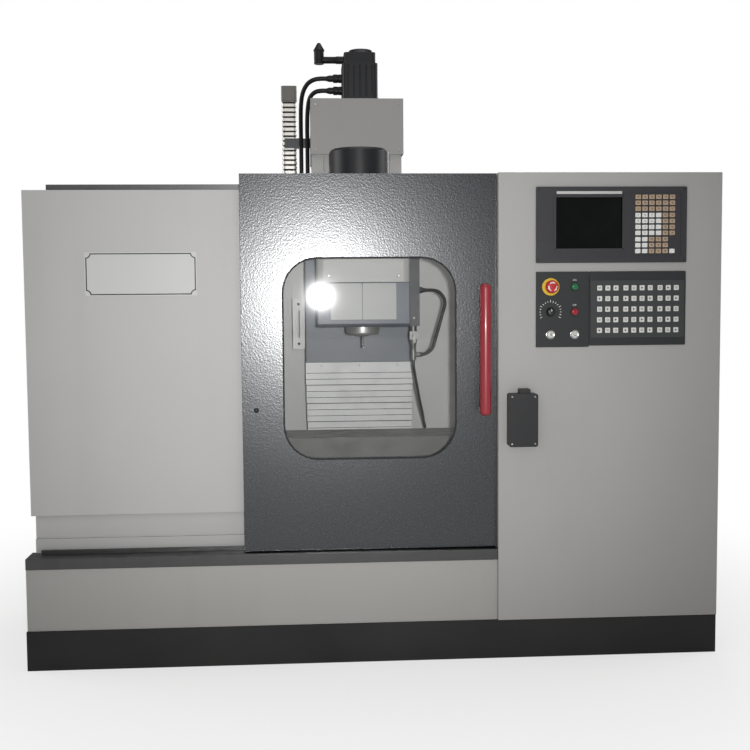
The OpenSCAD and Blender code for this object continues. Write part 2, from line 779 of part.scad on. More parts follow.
module door_runners() {
  color("ivory") for (s = [-1, 1]) {
    x0 = door_mid + s * runner_span / 2 - runner_w / 2;
    x1 = x0 + runner_w;
    top = rail_z + rail_h + 18;
    span([x0, door_y + sheet, rail_z + rail_h + run_gap], [x1, panel_back_y + 30, top]);
    span([x0, panel_back_y + 15, rail_z + sheet + slide_gap], [x1, panel_back_y + 30, top]);
    difference() {
      union() {
        span([x0, door_back_y - 18, door_z + sheet], [x1, door_back_y + eps, door_z + 46]);
        span([x0, door_back_y, door_z - 2], [x1, panel_back_y - 13, door_z + 46]);
      }
      span([x0 - 1, panel_y + 2 - slide_gap, door_z - 5],
        [x1 + 1, panel_y + 8 + slide_gap, sill_top + 16]);
    }
  }
}

module saddle() {
  z0 = deck_z + way_h + slide_gap;
  z1 = table_z - table_t - slide_gap;
  color([0.3, 0.31, 0.33]) difference() {
    union() {
      span([work_x - saddle_w / 2, spindle_y - saddle_l / 2, z0],
        [work_x + saddle_w / 2, spindle_y + saddle_l / 2, z1 - x_rail_h]);
      for (y = [-rail_y, rail_y])
        span([work_x - saddle_w / 2, spindle_y + y - rail_w / 2, z0],
          [work_x + saddle_w / 2, spindle_y + y + rail_w / 2, z1]);
      span([work_x - 45, spindle_y - 32, z0], [work_x + 45, spindle_y + 32, z1 - 2]);
      for (s = [-1, 1])
        span([work_x + s * (way_x + way_w / 2 + 12) - 11, spindle_y - saddle_l / 2, deck_z + 3],
          [work_x + s * (way_x + way_w / 2 + 12) + 11, spindle_y + saddle_l / 2, z0 + 1]);
    }
    x_rod([work_x - saddle_w / 2 - 1, spindle_y, screw_z], screw_d + 2 * turn_gap, saddle_w + 2);
    difference() {
      x_rod([work_x - saddle_w / 2 - 1, spindle_y, screw_z], screw_d + 16, saddle_w + 2);
      span([work_x - 45, spindle_y - 40, z0], [work_x + 45, spindle_y + 40, z1]);
    }
  }
}

module y_way_cover() {
  y1 = spindle_y - saddle_l / 2;
  y0 = y1 - 120;
  x = saddle_w / 2 - 20;
  z = deck_z + way_h + 24;
  color("silver") {
    span([work_x - x, y0, z], [work_x + x, y1, z + sheet]);
    for (s = [-1, 1]) span([work_x + s * (x - sheet / 2) - sheet / 2, y0, deck_z + 8],
      [work_x + s * (x - sheet / 2) + sheet / 2, y1, z + eps]);
    span([work_x - x, y0, z - 14], [work_x + x, y0 + sheet, z + eps]);
  }
}

module table() {
  x0 = work_x - table_l / 2;
  x1 = work_x + table_l / 2;
  z0 = table_z - table_t;
  color("gray") difference() {
    span([x0, spindle_y - table_w / 2, z0], [x1, spindle_y + table_w / 2, table_z]);
    for (k = [-1:1]) {
      span([x0 - 1, spindle_y + k * slot_pitch - slot_w / 2, table_z - 26],
        [x1 + 1, spindle_y + k * slot_pitch + slot_w / 2, table_z + 1]);
      span([x0 - 1, spindle_y + k * slot_pitch - slot_w / 2 - 5, table_z - 26],
        [x1 + 1, spindle_y + k * slot_pitch + slot_w / 2 + 5, table_z - 14]);
    }
    for (s = [-1, 1])
      span([x0 + 20, spindle_y + s * (table_w / 2 - 11) - 5, table_z - 8],
        [x1 - 20, spindle_y + s * (table_w / 2 - 11) + 5, table_z + 1]);
  }
}

module x_end_brackets() {
  x0 = work_x - table_l / 2;
  x1 = work_x + table_l / 2;
  z1 = table_z - 30;
  color([0.3, 0.31, 0.33]) difference() {
    for (x = [x0 - bracket_t, x1])
      span([x, spindle_y - bracket_w / 2, z1 - bracket_h], [x + bracket_t, spindle_y + bracket_w / 2, z1]);
    x_rod([x0 - bracket_t - 1, spindle_y, screw_z], screw_d + 2 * turn_gap, bracket_t + 2);
    x_rod([x1 - 1, spindle_y, screw_z], screw_d + 2 * turn_gap, bracket_t - 9);
  }
}

module x_servo_motor() {
  x1 = work_x - table_l / 2 - bracket_t;
  w = x_motor_w;
  color([0.1, 0.1, 0.11]) difference() {
    union() {
      span([x1 - 14, spindle_y - w / 2, screw_z - w / 2], [x1, spindle_y + w / 2, screw_z + w / 2]);
      translate([x1 - x_motor_l + 40, spindle_y, screw_z]) rotate([90, 0, 90])
        linear_extrude(x_motor_l - 53) round_rect(w - 6, w - 6, 14);
      x_rod([x1 - x_motor_l, spindle_y, screw_z], w - 24, 41);
    }
    x_rod([x1 - 24, spindle_y, screw_z], screw_d + 2 * turn_gap, 25);
  }
}

module x_ball_screw() {
  color("lightgray")
    x_rod([work_x - table_l / 2 - bracket_t - 20, spindle_y, screw_z], screw_d,
      table_l + bracket_t + 20 + 28);
}

module headstock() {
  color([0.27, 0.28, 0.31]) difference() {
    union() {
      span([work_x - carriage_w / 2, carriage_y, carriage_z],
        [work_x + carriage_w / 2, ways_y - slide_gap, belt_top]);
      translate([work_x - head_w / 2, 0, 0]) rotate([90, 0, 90]) linear_extrude(head_w) polygon([
        [head_front_y + 10, head_z], [carriage_y + 1, head_z], [carriage_y + 1, head_top],
        [head_front_y, head_top], [head_front_y, head_z + 10]
      ]);
    }
    translate([work_x, spindle_y, head_z - 1]) cylinder(d = cartridge_d + 2 * seat_gap, h = head_h + 2);
    span([work_x - carriage_w / 2 + 55, carriage_y + 26, carriage_z + 40],
      [work_x + carriage_w / 2 - 55, ways_y, belt_top - 40]);
  }
}

module belt_housing() {
  w = head_w;
  y0 = head_front_y - 4;
  r = 26;
  color("silver") difference() {
    translate([work_x, 0, head_top]) linear_extrude(belt_h) {
      translate([-w / 2, y0 + r]) square([w, carriage_y - y0 - r]);
      translate([-w / 2 + r, y0]) square([w - 2 * r, r + 1]);
      for (s = [-1, 1]) translate([s * (w / 2 - r), y0 + r]) circle(r);
    }
    span([work_x - w / 2 + 8, y0 + r, head_top - 1], [work_x + w / 2 - 8, carriage_y - 8, belt_top - 10]);
    translate([work_x, motor_y, belt_top - 11]) cylinder(d = 60, h = 12);
  }
}

module spindle_motor() {
  color([0.13, 0.13, 0.14]) translate([work_x, motor_y, belt_top]) difference() {
    union() {
      translate([-motor_d / 2, -motor_d / 2, 0]) cube([motor_d, motor_d, 18]);
      cylinder(d = motor_d - 16, h = 125);
      for (k = [0:11]) rotate([0, 0, 30 * k + 15]) translate([0, -3, 17]) cube([motor_d / 2 - 3, 6, 100]);
      translate([0, 0, 121]) cylinder(d = motor_d, h = motor_h - 121 - 8);
      translate([0, 0, motor_h - 8.01]) cylinder(d1 = motor_d, d2 = motor_d - 14, h = 8.01);
    }
    for (k = [1:4]) translate([0, 0, motor_h - 4]) difference() {
      cylinder(r = 12 + 18 * k, h = 6);
      translate([0, 0, -1]) cylinder(r = 4 + 18 * k, h = 8);
      for (a = [0, 60, 120]) rotate([0, 0, a]) cube([motor_d, 8, 20], center = true);
    }
    translate([0, 0, -1]) cylinder(d = 40, h = 30);
  }
}

module spindle_nose() {
  color("lightgray") translate([work_x, spindle_y, head_z - nose_h]) difference() {
    union() {
      cylinder(d1 = nose_d - 12, d2 = nose_d, h = 8);
      translate([0, 0, 8 - eps]) cylinder(d = nose_d, h = nose_h - 8 + eps);
      cylinder(d = cartridge_d, h = nose_h + head_h);
    }
    translate([0, 0, -1]) cylinder(d = spindle_d + 2 * turn_gap, h = nose_h + head_h + 2);
    for (k = [0:5]) rotate([0, 0, 60 * k + 30]) translate([nose_d / 2 - 11, 0, -1]) cylinder(d = 9, h = 7);
  }
}

module spindle_shaft() {
  color("gray") translate([work_x, spindle_y, head_z - nose_h - 5]) difference() {
    union() {
      cylinder(d1 = spindle_d - 16, d2 = spindle_d, h = 5);
      translate([0, 0, 5 - eps]) cylinder(d = spindle_d, h = nose_h + head_h + 40);
      translate([0, 0, nose_h + head_h + 12]) cylinder(d = 130, h = 46);
    }
    translate([0, 0, -1]) cylinder(d = tool_d + 2 * seat_gap, h = shank_l + 1);
  }
}

module end_mill() {
  z0 = head_z - nose_h - 5;
  color("lightgray") translate([work_x, spindle_y, z0 - tool_l]) {
    cylinder(d1 = tool_d - 3, d2 = tool_d, h = 4);
    translate([0, 0, 4 - eps]) cylinder(d = tool_d, h = tool_l + shank_l - 4 + eps);
  }
}

module coolant_duct() {
  y0 = spindle_y - duct_d / 2;
  color([0.2, 0.21, 0.23]) difference() {
    union() {
      span([duct_x, y0, head_z], [duct_x + duct_w, y0 + duct_d, belt_top - 30]);
      x_rod([duct_x + duct_w - 1, spindle_y, head_z + 132], 24, 13);
    }
    for (z = [head_z + 30, belt_top - 60]) y_rod([duct_x + duct_w / 2, y0 - 1, z], 7, 3);
  }
}

module coolant_valve() {
  x = duct_x + duct_w / 2;
  color("silver") {
    translate([x, spindle_y, head_z - 60]) cylinder(d = 26, h = 60);
    span([x - 15, spindle_y - 15, head_z - 50], [x + 15, spindle_y + 15, head_z - 20]);
    translate([x, spindle_y, head_z - 84]) cylinder(d1 = 16, d2 = 24, h = 24 + eps);
    translate([x, spindle_y, head_z - 126]) cylinder(d = 20, h = 42 + eps);
    y_rod([x, spindle_y - 34, head_z - 35], 12, 20);
    span([x - 5, spindle_y - 38, head_z - 62], [x + 5, spindle_y - 33, head_z - 29]);
    x_rod([x, spindle_y, head_z - 106], 18, 24);
  }
}

module coolant_hose() {
  x = duct_x + duct_w;
  y = spindle_y;
  z = head_z;
  r = hose_bend;
  color([0.08, 0.08, 0.09]) route(concat(
    [[x + 12, y, z + 132], [x + 30, y, z + 132]],
    [for (a = [90:-15:0]) [x + 48 + r * cos(a), y, z + 132 - r + r * sin(a)]],
    [for (k = [0:5]) [x + 95.1 - 8.02 * k, y, z + 69.5 - 28 * k]],
    [for (a = [-31:-15:-76]) [x + 7.9 + r * cos(a), y, z - 106 + r + r * sin(a)]],
    [[x + 7.9, y, z - 106], [x + 3, y, z - 106]]
  ), hose_d);
}

module supply_hose() {
  x = duct_x + duct_w / 2;
  y = spindle_y;
  z = head_z - 126;
  xe = work_x + 290;
  ye = walls_back_y - sheet - 18;
  ze = table_z - 75;
  color([0.12, 0.12, 0.13]) route([
    [x, y, z], [x, y, z - 20], [x + 4, y + 10, z - 46], [x + 11, y + 31, z - 76],
    [x + 20, y + 62, z - 108], [x + 30, y + 102, z - 146], [x + 42, y + 150, z - 186],
    [x + 55, y + 204, z - 226], [x + 68, ye - 210, ze + 84], [x + 80, ye - 150, ze + 50],
      [xe - 26, ye - 96, ze + 24],
    [xe - 9, ye - 54, ze + 7], [xe, ye - 20, ze], [xe, ye, ze]
  ], 11, 10, [1, 0, 0]);
}

module rear_cabinet() {
  a = [rear_left, column_back_y, rear_z];
  b = [rear_right, rear_split_y - edge_gap, rear_z + rear_h];
  color("silver") {
    tray(a, b);
    for (z = [rear_z + 120, rear_z + rear_h - 180]) {
      span([rear_right - 1, rear_split_y - 20, z], [hinge_x, rear_split_y - edge_gap, z + 30]);
      translate([hinge_x, rear_split_y, z]) cylinder(d = 12, h = 30);
    }
    for (k = [0:5]) span([rear_left - 4, column_back_y + 80, rear_z + 120 + 26 * k],
      [rear_left + 1, column_back_y + 220, rear_z + 132 + 26 * k]);
  }
}

module rear_cabinet_door() {
  color("silver") {
    difference() {
      span([rear_left, rear_split_y, rear_z], [rear_right, rear_back_y, rear_z + rear_h]);
      span([rear_left + sheet, rear_split_y - 1, rear_z + sheet],
        [rear_right - sheet, rear_back_y - sheet, rear_z + rear_h - sheet]);
      y_rod([rear_left + 60, rear_back_y - 10, rear_z + rear_h / 2], 16 + 2 * turn_gap, 20);
      for (k = [0:7]) span([work_x - 120, rear_back_y - 10, rear_z + 110 + 24 * k],
        [work_x + 120, rear_back_y + 1, rear_z + 120 + 24 * k]);
    }
    for (z = [rear_z + 120, rear_z + rear_h - 180]) {
      span([rear_right - 1, rear_split_y + edge_gap, z + 31], [hinge_x, rear_split_y + 16, z + 60]);
      translate([hinge_x, rear_split_y, z + 31]) cylinder(d = 12, h = 29);
    }
  }
}

module rear_door_lock() {
  p = [rear_left + 60, rear_back_y - 24, rear_z + rear_h / 2];
  color([0.1, 0.1, 0.11]) difference() {
    union() {
      y_rod(p, 16, 24);
      span(p + [-9, 0, -10], p + [9, 5, 46]);
    }
    span(p + [-5, 20, -1.5], p + [5, 25, 1.5]);
  }
}

module drive_rack() {
  y0 = column_back_y + sheet;
  y1 = y0 + 4;
  choke_z = rear_z + 100;
  relay_z = rear_z + 330;
  color("lightgray") {
    span([rear_left + rack_edge, y0, rear_z + rack_edge + 10],
      [rear_right - rack_edge, y0 + 5, rear_z + rear_h - rack_edge - 10]);
    for (k = [0:2]) {
      x = drive_x + k * drive_pitch;
      span([x, y1, drive_z], [x + drive_w, y0 + drive_d, drive_z + drive_h]);
      for (n = [0:4]) span([x + 4 + n * fin_pitch, y0 + drive_d - 1, drive_z + 20],
        [x + 10 + n * fin_pitch, y0 + drive_d + 5, drive_z + drive_h - 20]);
    }
    span([rear_right - 80 - supply_w, y1, drive_z + drive_h - supply_h],
      [rear_right - 80, y0 + supply_d, drive_z + drive_h]);
    span([drive_x, y1, choke_z], [drive_x + choke_w, y0 + choke_d, choke_z + choke_h]);
    for (k = [0:5]) {
      x = drive_x + choke_w + 50 + k * relay_pitch;
      span([x, y1, relay_z], [x + relay_w, y0 + relay_d, relay_z + relay_h]);
    }
  }
}

bed_casting();
plinth();
chip_pan();
door_sill();
left_front_panel();
side_walls();
rear_splash_walls();
door_top_rail();
column();
column_cap();
z_servo_motor();
z_motor_leads();
cable_conduit();
conduit_bracket();
z_cover_bottom();
trip_rail();
control_cabinet();
nc_unit();
nc_screen();
nc_keys();
operator_plates();
operator_keys();
estop_collar();
switch_box();
rear_cabinet();
drive_rack();
supply_hose();
door_panel();
window_pane();
door_handle();
handle_posts();
door_runners();
saddle();
y_way_cover();
table();
x_end_brackets();
x_servo_motor();
x_ball_screw();
headstock();
belt_housing();
spindle_motor();
spindle_nose();
coolant_duct();
coolant_valve();
coolant_hose();
z_cover_top();
spindle_shaft();
end_mill();
z_cover_slat_1();
z_cover_slat_2();
z_cover_slat_3();
z_cover_slat_4();
estop_button();
override_knob();
start_button();
stop_button();
hold_button();
cycle_button();
rear_cabinet_door();
rear_door_lock();
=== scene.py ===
"""Dresses the milling machine: finishes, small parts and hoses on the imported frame."""
import logging
import math
from dataclasses import dataclass
from enum import Enum
from typing import Any, Callable, Dict, List, Mapping, Optional, Sequence, Tuple, Union

import bpy
from mathutils import Matrix, Vector


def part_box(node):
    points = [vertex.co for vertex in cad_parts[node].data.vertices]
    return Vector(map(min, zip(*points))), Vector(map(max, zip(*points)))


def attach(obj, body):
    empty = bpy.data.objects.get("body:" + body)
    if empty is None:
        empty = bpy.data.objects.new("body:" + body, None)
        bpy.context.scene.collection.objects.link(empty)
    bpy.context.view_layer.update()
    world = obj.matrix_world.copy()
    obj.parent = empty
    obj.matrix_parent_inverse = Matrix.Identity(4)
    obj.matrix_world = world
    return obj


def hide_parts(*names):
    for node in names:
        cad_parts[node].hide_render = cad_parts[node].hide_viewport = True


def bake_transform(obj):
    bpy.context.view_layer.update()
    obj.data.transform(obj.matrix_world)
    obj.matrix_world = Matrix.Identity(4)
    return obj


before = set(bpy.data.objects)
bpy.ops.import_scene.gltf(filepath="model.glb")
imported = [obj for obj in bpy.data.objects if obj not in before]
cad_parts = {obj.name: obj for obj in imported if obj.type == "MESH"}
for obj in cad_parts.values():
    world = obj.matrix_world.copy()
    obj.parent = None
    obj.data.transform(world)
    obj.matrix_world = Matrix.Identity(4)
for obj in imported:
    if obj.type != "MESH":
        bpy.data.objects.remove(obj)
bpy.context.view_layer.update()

LOG = logging.getLogger("milling_machine")

Piece = bpy.types.Object
Point = Tuple[float, float, float]
Colour = Tuple[float, float, float]
Pair = Tuple[float, float]
Profile = Sequence[Pair]

MM = 0.001
X, Y, Z = range(3)
FRONT = Vector((0.0, -1.0, 0.0))
UP = Vector((0.0, 0.0, 1.0))
LEFT = Vector((-1.0, 0.0, 0.0))
RIGHT = Vector((1.0, 0.0, 0.0))
UPRIGHT = (math.radians(90), 0.0, 0.0)


def srgb(red: int, green: int, blue: int) -> Colour:
    """Turns a screen colour of 0 to 255 into the linear colour that a shader takes.

    Args:
        red, green, blue: The colour as a screen shows it.

    Returns:
        The same colour in linear light.
    """
    def straight(level: int) -> float:
        """Linear light of one channel."""
        share = level / 255
        return share / 12.92 if share <= 0.04045 else ((share + 0.055) / 1.055) ** 2.4
    return straight(red), straight(green), straight(blue)


def dim(colour: Colour, factor: float) -> Colour:
    """A colour times a factor, at most white."""
    return tuple(min(1.0, level * factor) for level in colour)


def low_of(node: str, axis: int) -> float:
    """Lowest place of a CAD node along X, Y or Z."""
    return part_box(node)[0][axis]


def high_of(node: str, axis: int) -> float:
    """Highest place of a CAD node along X, Y or Z."""
    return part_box(node)[1][axis]


def centre_of(node: str, axis: int) -> float:
    """Middle of a CAD node along X, Y or Z."""
    return (low_of(node, axis) + high_of(node, axis)) / 2


class Body(str, Enum):
    """The moving bodies of the machine that pieces ride on."""

    FRAME = "frame"
    DOOR = "door"
    CROSS_SLIDE = "cross_slide"
    WORK_TABLE = "work_table"
    X_SCREW = "x_screw"
    HEAD = "head"
    SPINDLE = "spindle"
    SLAT_1 = "slat_1"
    SLAT_2 = "slat_2"
    SLAT_3 = "slat_3"
    SLAT_4 = "slat_4"
    ESTOP = "estop"
    OVERRIDE = "override"
    START = "start"
    STOP = "stop"
    HOLD = "hold"
    CYCLE = "cycle"
    REAR_DOOR = "rear_door"
    REAR_LOCK = "rear_lock"


class Grain(Enum):
    """Direction of the brushing on bare steel, as stretches of the noise along X, Y and Z."""

    ALONG_X = (5.0, 700.0, 700.0)
    ALONG_Z = (700.0, 700.0, 5.0)
    ALL_ROUND = (240.0, 240.0, 240.0)


# Materials


class Wire:
    """A value socket; Python's operators on it lay Math nodes."""

    def __init__(self, bench: "Bench", socket: Any) -> None:
        """Keeps the bench that the socket's node stands on."""
        self.bench = bench
        self.socket = socket

    def _math(self, operation: str, first: Any, second: Any) -> "Wire":
        """Lays one Math node."""
        return self.bench.node("ShaderNodeMath", {"operation": operation}, {0: first, 1: second})

    def __add__(self, other: Any) -> "Wire":
        """Sum of this value and another."""
        return self._math("ADD", self, other)

    def __radd__(self, other: Any) -> "Wire":
        """Sum of a number and this value."""
        return self._math("ADD", other, self)

    def __sub__(self, other: Any) -> "Wire":
        """This value less another."""
        return self._math("SUBTRACT", self, other)

    def __rsub__(self, other: Any) -> "Wire":
        """A number less this value."""
        return self._math("SUBTRACT", other, self)

    def __mul__(self, other: Any) -> "Wire":
        """Product of this value and another."""
        return self._math("MULTIPLY", self, other)

    def __rmul__(self, other: Any) -> "Wire":
        """Product of a number and this value."""
        return self._math("MULTIPLY", other, self)

    def __pow__(self, other: Any) -> "Wire":
        """This value to a power."""
        return self._math("POWER", self, other)

    def most(self, other: Any) -> "Wire":
        """The greater of this value and another."""
        return self._math("MAXIMUM", self, other)


class Bench:
    """One material or world and the nodes that are laid in it."""

    HOLLOW_SAMPLES = 6
    HOLLOW_REACH = 0.03
    HOLLOW_CURVE = 1.4

    def __init__(self, owner: Union[bpy.types.Material, bpy.types.World]) -> None:
        """Empties the node tree of a material or world.

        Args:
            owner: What the nodes are laid in.
        """
        owner.use_nodes = True
        self.owner = owner
        self.tree = owner.node_tree
        self.tree.nodes.clear()
        self._place: Optional[Wire] = None

    def node(
        self,
        kind: str,
        settings: Optional[Mapping[str, Any]] = None,
        inputs: Optional[Mapping[Union[int, str], Any]] = None,
        out: Union[int, str] = 0,
    ) -> Wire:
        """Lays any node.

        Args:
            kind: The node's type.
            settings: Its properties, set before anything is linked.
            inputs: Values or wires for its sockets, by name or number.
            out: Which output to return.

        Returns:
            The output as a wire.
        """
        made = self.tree.nodes.new(kind)
        for key, value in (settings or {}).items():
            setattr(made, key, value)
        for key, value in (inputs or {}).items():
            if isinstance(value, Wire):
                self.tree.links.new(value.socket, made.inputs[key])
            else:
                made.inputs[key].default_value = value
        return Wire(self, made.outputs[out])

    def place(self, stretch: Sequence[float] = (1.0, 1.0, 1.0)) -> Wire:
        """Object coordinates.

        Args:
            stretch: Factors along X, Y and Z.

        Returns:
            The place in metres, times those factors.
        """
        if self._place is None:
            self._place = self.node("ShaderNodeTexCoord", out="Object")
        if tuple(stretch) == (1.0, 1.0, 1.0):
            return self._place
        return self.node(
            "ShaderNodeVectorMath",
            {"operation": "MULTIPLY"},
            {0: self._place, 1: tuple(stretch)},
        )

    def noise(self, scale: float, stretch: Sequence[float] = (1.0, 1.0, 1.0), detail: float = 2.0) -> Wire:
        """Noise from 0 to 1.

        Args:
            scale: Grains in a metre.
            stretch: Factors on the place along X, Y and Z.
            detail: Octaves of finer grain.

        Returns:
            The noise.
        """
        return self.node(
            "ShaderNodeTexNoise",
            {"noise_dimensions": "3D"},
            {"Vector": self.place(stretch), "Scale": scale, "Detail": detail, "Roughness": 0.5},
        )

    def cells(self, scale: float) -> Wire:
        """Distance to the nearest of that many soft cells in a metre."""
        return self.node(
            "ShaderNodeTexVoronoi", {"feature": "SMOOTH_F1"}, {"Vector": self.place(), "Scale": scale}
        )

    def ramp(self, value: Wire, low: float, high: float) -> Wire:
        """Eases a value from 0 at low to 1 at high.

        Args:
            value: The value to ease.
            low, high: Where the slope starts and ends.

        Returns:
            The eased value.
        """
        return self.node(
            "ShaderNodeMapRange",
            {"interpolation_type": "SMOOTHSTEP", "clamp": True},
            {"Value": value, "From Min": low, "From Max": high, "To Min": 0.0, "To Max": 1.0},
        )

    def axis(self, name: str) -> Wire:
        """X, Y or Z of the place, in metres."""
        return self.node("ShaderNodeSeparateXYZ", inputs={0: self.place()}, out=name)

    def mix(self, share: Union[Wire, float], first: Any, second: Any) -> Wire:
        """Blends two colours.

        Args:
            share: How much of the second one shows.
            first, second: The colours, as wires or plain.

        Returns:
            The blend.
        """
        def full(colour: Any) -> Any:
            """A plain colour with its alpha."""
            return colour if isinstance(colour, Wire) else (*colour, 1.0)
        return self.node(
            "ShaderNodeMix",
            {"data_type": "RGBA", "blend_type": "MIX"},
            {0: share, 6: full(first), 7: full(second)},
            out=2,
        )

    def shade(self, share: Union[Wire, float], colour: Any, factor: float) -> Wire:
        """Scales a colour by a factor where share is 1.

        Args:
            share: How much of the scaled colour shows.
            colour: The colour, as a wire or plain.
            factor: What it is multiplied by.

        Returns:
            The shaded colour.
        """
        scaled = self.node(
            "ShaderNodeVectorMath", {"operation": "SCALE"}, {0: colour, "Scale": factor}
        )
        return self.mix(share, colour, scaled)

    def hollows(self) -> Wire:
        """Finds tight corners and gaps, where shade is painted.

        Returns:
            1 in them, 0 on open faces.
        """
        open_share = self.node(
            "ShaderNodeAmbientOcclusion",
            {"samples": self.HOLLOW_SAMPLES, "only_local": False},
            {"Distance": self.HOLLOW_REACH},
            out="AO",
        )
        return (1 - open_share) ** self.HOLLOW_CURVE

    def rays(self) -> List[Wire]:
        """Shares of camera, glossy and transmission rays."""
        kinds = ("Camera", "Glossy", "Transmission")
        return [self.node("ShaderNodeLightPath", out=f"Is {kind} Ray") for kind in kinds]

    def bump(self, height: Wire, distance: float) -> Wire:
        """Normal of a relief that is so many metres high."""
        return self.node(
            "ShaderNodeBump", inputs={"Strength": 1.0, "Distance": distance, "Height": height}
        )

    def close(self, shader: Wire) -> Union[bpy.types.Material, bpy.types.World]:
        """Links a shader to the output.

        Args:
            shader: The finished shader.

        Returns:
            The material or world.
        """
        kind = "World" if isinstance(self.owner, bpy.types.World) else "Material"
        output = self.tree.nodes.new(f"ShaderNodeOutput{kind}")
        self.tree.links.new(shader.socket, output.inputs["Surface"])
        return self.owner

    def principled(self, **inputs: Any) -> bpy.types.Material:
        """Ends the material in a Principled shader.

        Args:
            inputs: Its sockets' values or wires; words in a socket's name are joined by _.

        Returns:
            The material.
        """
        sockets = {key.replace("_", " "): value for key, value in inputs.items()}
        if not isinstance(sockets["Base Color"], Wire):
            sockets["Base Color"] = (*sockets["Base Color"], 1.0)
        return self.close(self.node("ShaderNodeBsdfPrincipled", inputs=sockets))


DUST = srgb(120, 112, 100)


@dataclass(frozen=True)
class Paint:
    """Sprayed enamel: fine relief, slow fading, dust low down, painted shade in tight corners."""

    colour: Colour
    rough: float = 0.42
    relief: float = 320.0
    height: float = 0.00006
    fade: float = 0.07
    dust: float = 0.0
    painted_crevice_shade: float = 0.0
    specular: float = 0.5

    def make(self, name: str) -> bpy.types.Material:
        """Builds the material.

        Args:
            name: The material's name.

        Returns:
            The material.
        """
        bench = Bench(bpy.data.materials.new(name))
        slow = bench.noise(2.2, detail=3.0)
        streak = bench.noise(1.0, (9.0, 9.0, 0.9), detail=3.0)
        fine = bench.noise(self.relief, detail=2.0)
        colour = bench.mix(slow, dim(self.colour, 1 - self.fade), dim(self.colour, 1 + self.fade))
        colour = bench.shade(bench.ramp(streak, 0.5, 0.8) * (2.2 * self.fade), colour, 0.8)
        if self.dust:
            low = 1 - bench.ramp(bench.axis("Z"), 0.02, 0.5)
            patches = bench.ramp(slow + 0.3 * fine, 0.3, 0.8)
            colour = bench.mix(low * patches * self.dust, colour, DUST)
        # Painted shade: colour darkened in tight corners and gaps.
        if self.painted_crevice_shade:
            colour = bench.shade(bench.hollows() * self.painted_crevice_shade, colour, 0.35)
        rough = self.rough + 0.10 * (slow - 0.5) + 0.08 * (fine - 0.5)
        return bench.principled(
            Base_Color=colour,
            Roughness=rough,
            Normal=bench.bump(fine, self.height),
            Specular_IOR_Level=self.specular,
        )


@dataclass(frozen=True)
class Moulded(Paint):
    """Moulded plastic or rubber, finer and duller than enamel."""

    rough: float = 0.5
    relief: float = 900.0
    height: float = 0.00003
    specular: float = 0.3


@dataclass(frozen=True)
class Hammertone:
    """Hammered enamel with bright flecks, as on the sliding door."""

    colour: Colour
    fleck: Colour
    cells: float = 190.0
    height: float = 0.0002

    def make(self, name: str) -> bpy.types.Material:
        """Builds the material.

        Args:
            name: The material's name.

        Returns:
            The material.
        """
        bench = Bench(bpy.data.materials.new(name))
        slow = bench.noise(3.0, detail=3.0)
        grains = bench.noise(230.0, detail=2.0)
        dents = bench.cells(self.cells)
        colour = bench.mix(slow, dim(self.colour, 0.9), dim(self.colour, 1.1))
        colour = bench.mix(bench.ramp(grains, 0.54, 0.72) * 0.75, colour, self.fleck)
        colour = bench.shade(bench.ramp(dents, 0.42, 0.8) * 0.7, colour, 0.5)
        return bench.principled(
            Base_Color=colour,
            Roughness=0.21 + 0.11 * grains,
            Normal=bench.bump(dents + 0.5 * grains, self.height),
            Metallic=0.1,
            Specular_IOR_Level=1.0,
        )


@dataclass(frozen=True)
class BareSteel:
    """Brushed, ground or plated metal."""

    colour: Colour
    rough: float = 0.3
    grain: Grain = Grain.ALONG_X
    brush: float = 0.16
    height: float = 0.000004
    stain: float = 0.12
    metal: float = 1.0
    painted_crevice_shade: float = 0.0

    def make(self, name: str) -> bpy.types.Material:
        """Builds the material.

        Args:
            name: The material's name.

        Returns:
            The material.
        """
        bench = Bench(bpy.data.materials.new(name))
        lines = bench.noise(1.0, self.grain.value, detail=3.0)
        marks = bench.noise(14.0, detail=4.0)
        spread = 0.5 * self.brush
        colour = bench.mix(lines, dim(self.colour, 1 - spread), dim(self.colour, 1 + spread))
        colour = bench.shade(bench.ramp(marks, 0.45, 0.75) * (4 * self.stain), colour, 0.72)
        # Painted shade: colour darkened in tight corners and gaps.
        if self.painted_crevice_shade:
            colour = bench.shade(bench.hollows() * self.painted_crevice_shade, colour, 0.25)
        rough = self.rough + self.brush * (lines - 0.5) + self.stain * bench.ramp(marks, 0.4, 0.8)
        return bench.principled(
            Base_Color=colour, Roughness=rough, Normal=bench.bump(lines, self.height), Metallic=self.metal
        )


@dataclass(frozen=True)
class Gloss:
    """Smooth moulded or glassy surface with faint smears."""

    colour: Colour
    rough: float = 0.12
    smear: float = 0.1
    coat: float = 0.4
    specular: float = 0.5

    def make(self, name: str) -> bpy.types.Material:
        """Builds the material.

        Args:
            name: The material's name.

        Returns:
            The material.
        """
        bench = Bench(bpy.data.materials.new(name))
        smears = bench.noise(38.0, (1.0, 1.0, 0.5), detail=4.0)
        colour = bench.mix(smears, dim(self.colour, 0.92), dim(self.colour, 1.08))
        return bench.principled(
            Base_Color=colour,
            Roughness=self.rough + self.smear * bench.ramp(smears, 0.4, 0.8),
            Coat_Weight=self.coat,
            Coat_Roughness=0.05,
            Specular_IOR_Level=self.specular,
        )


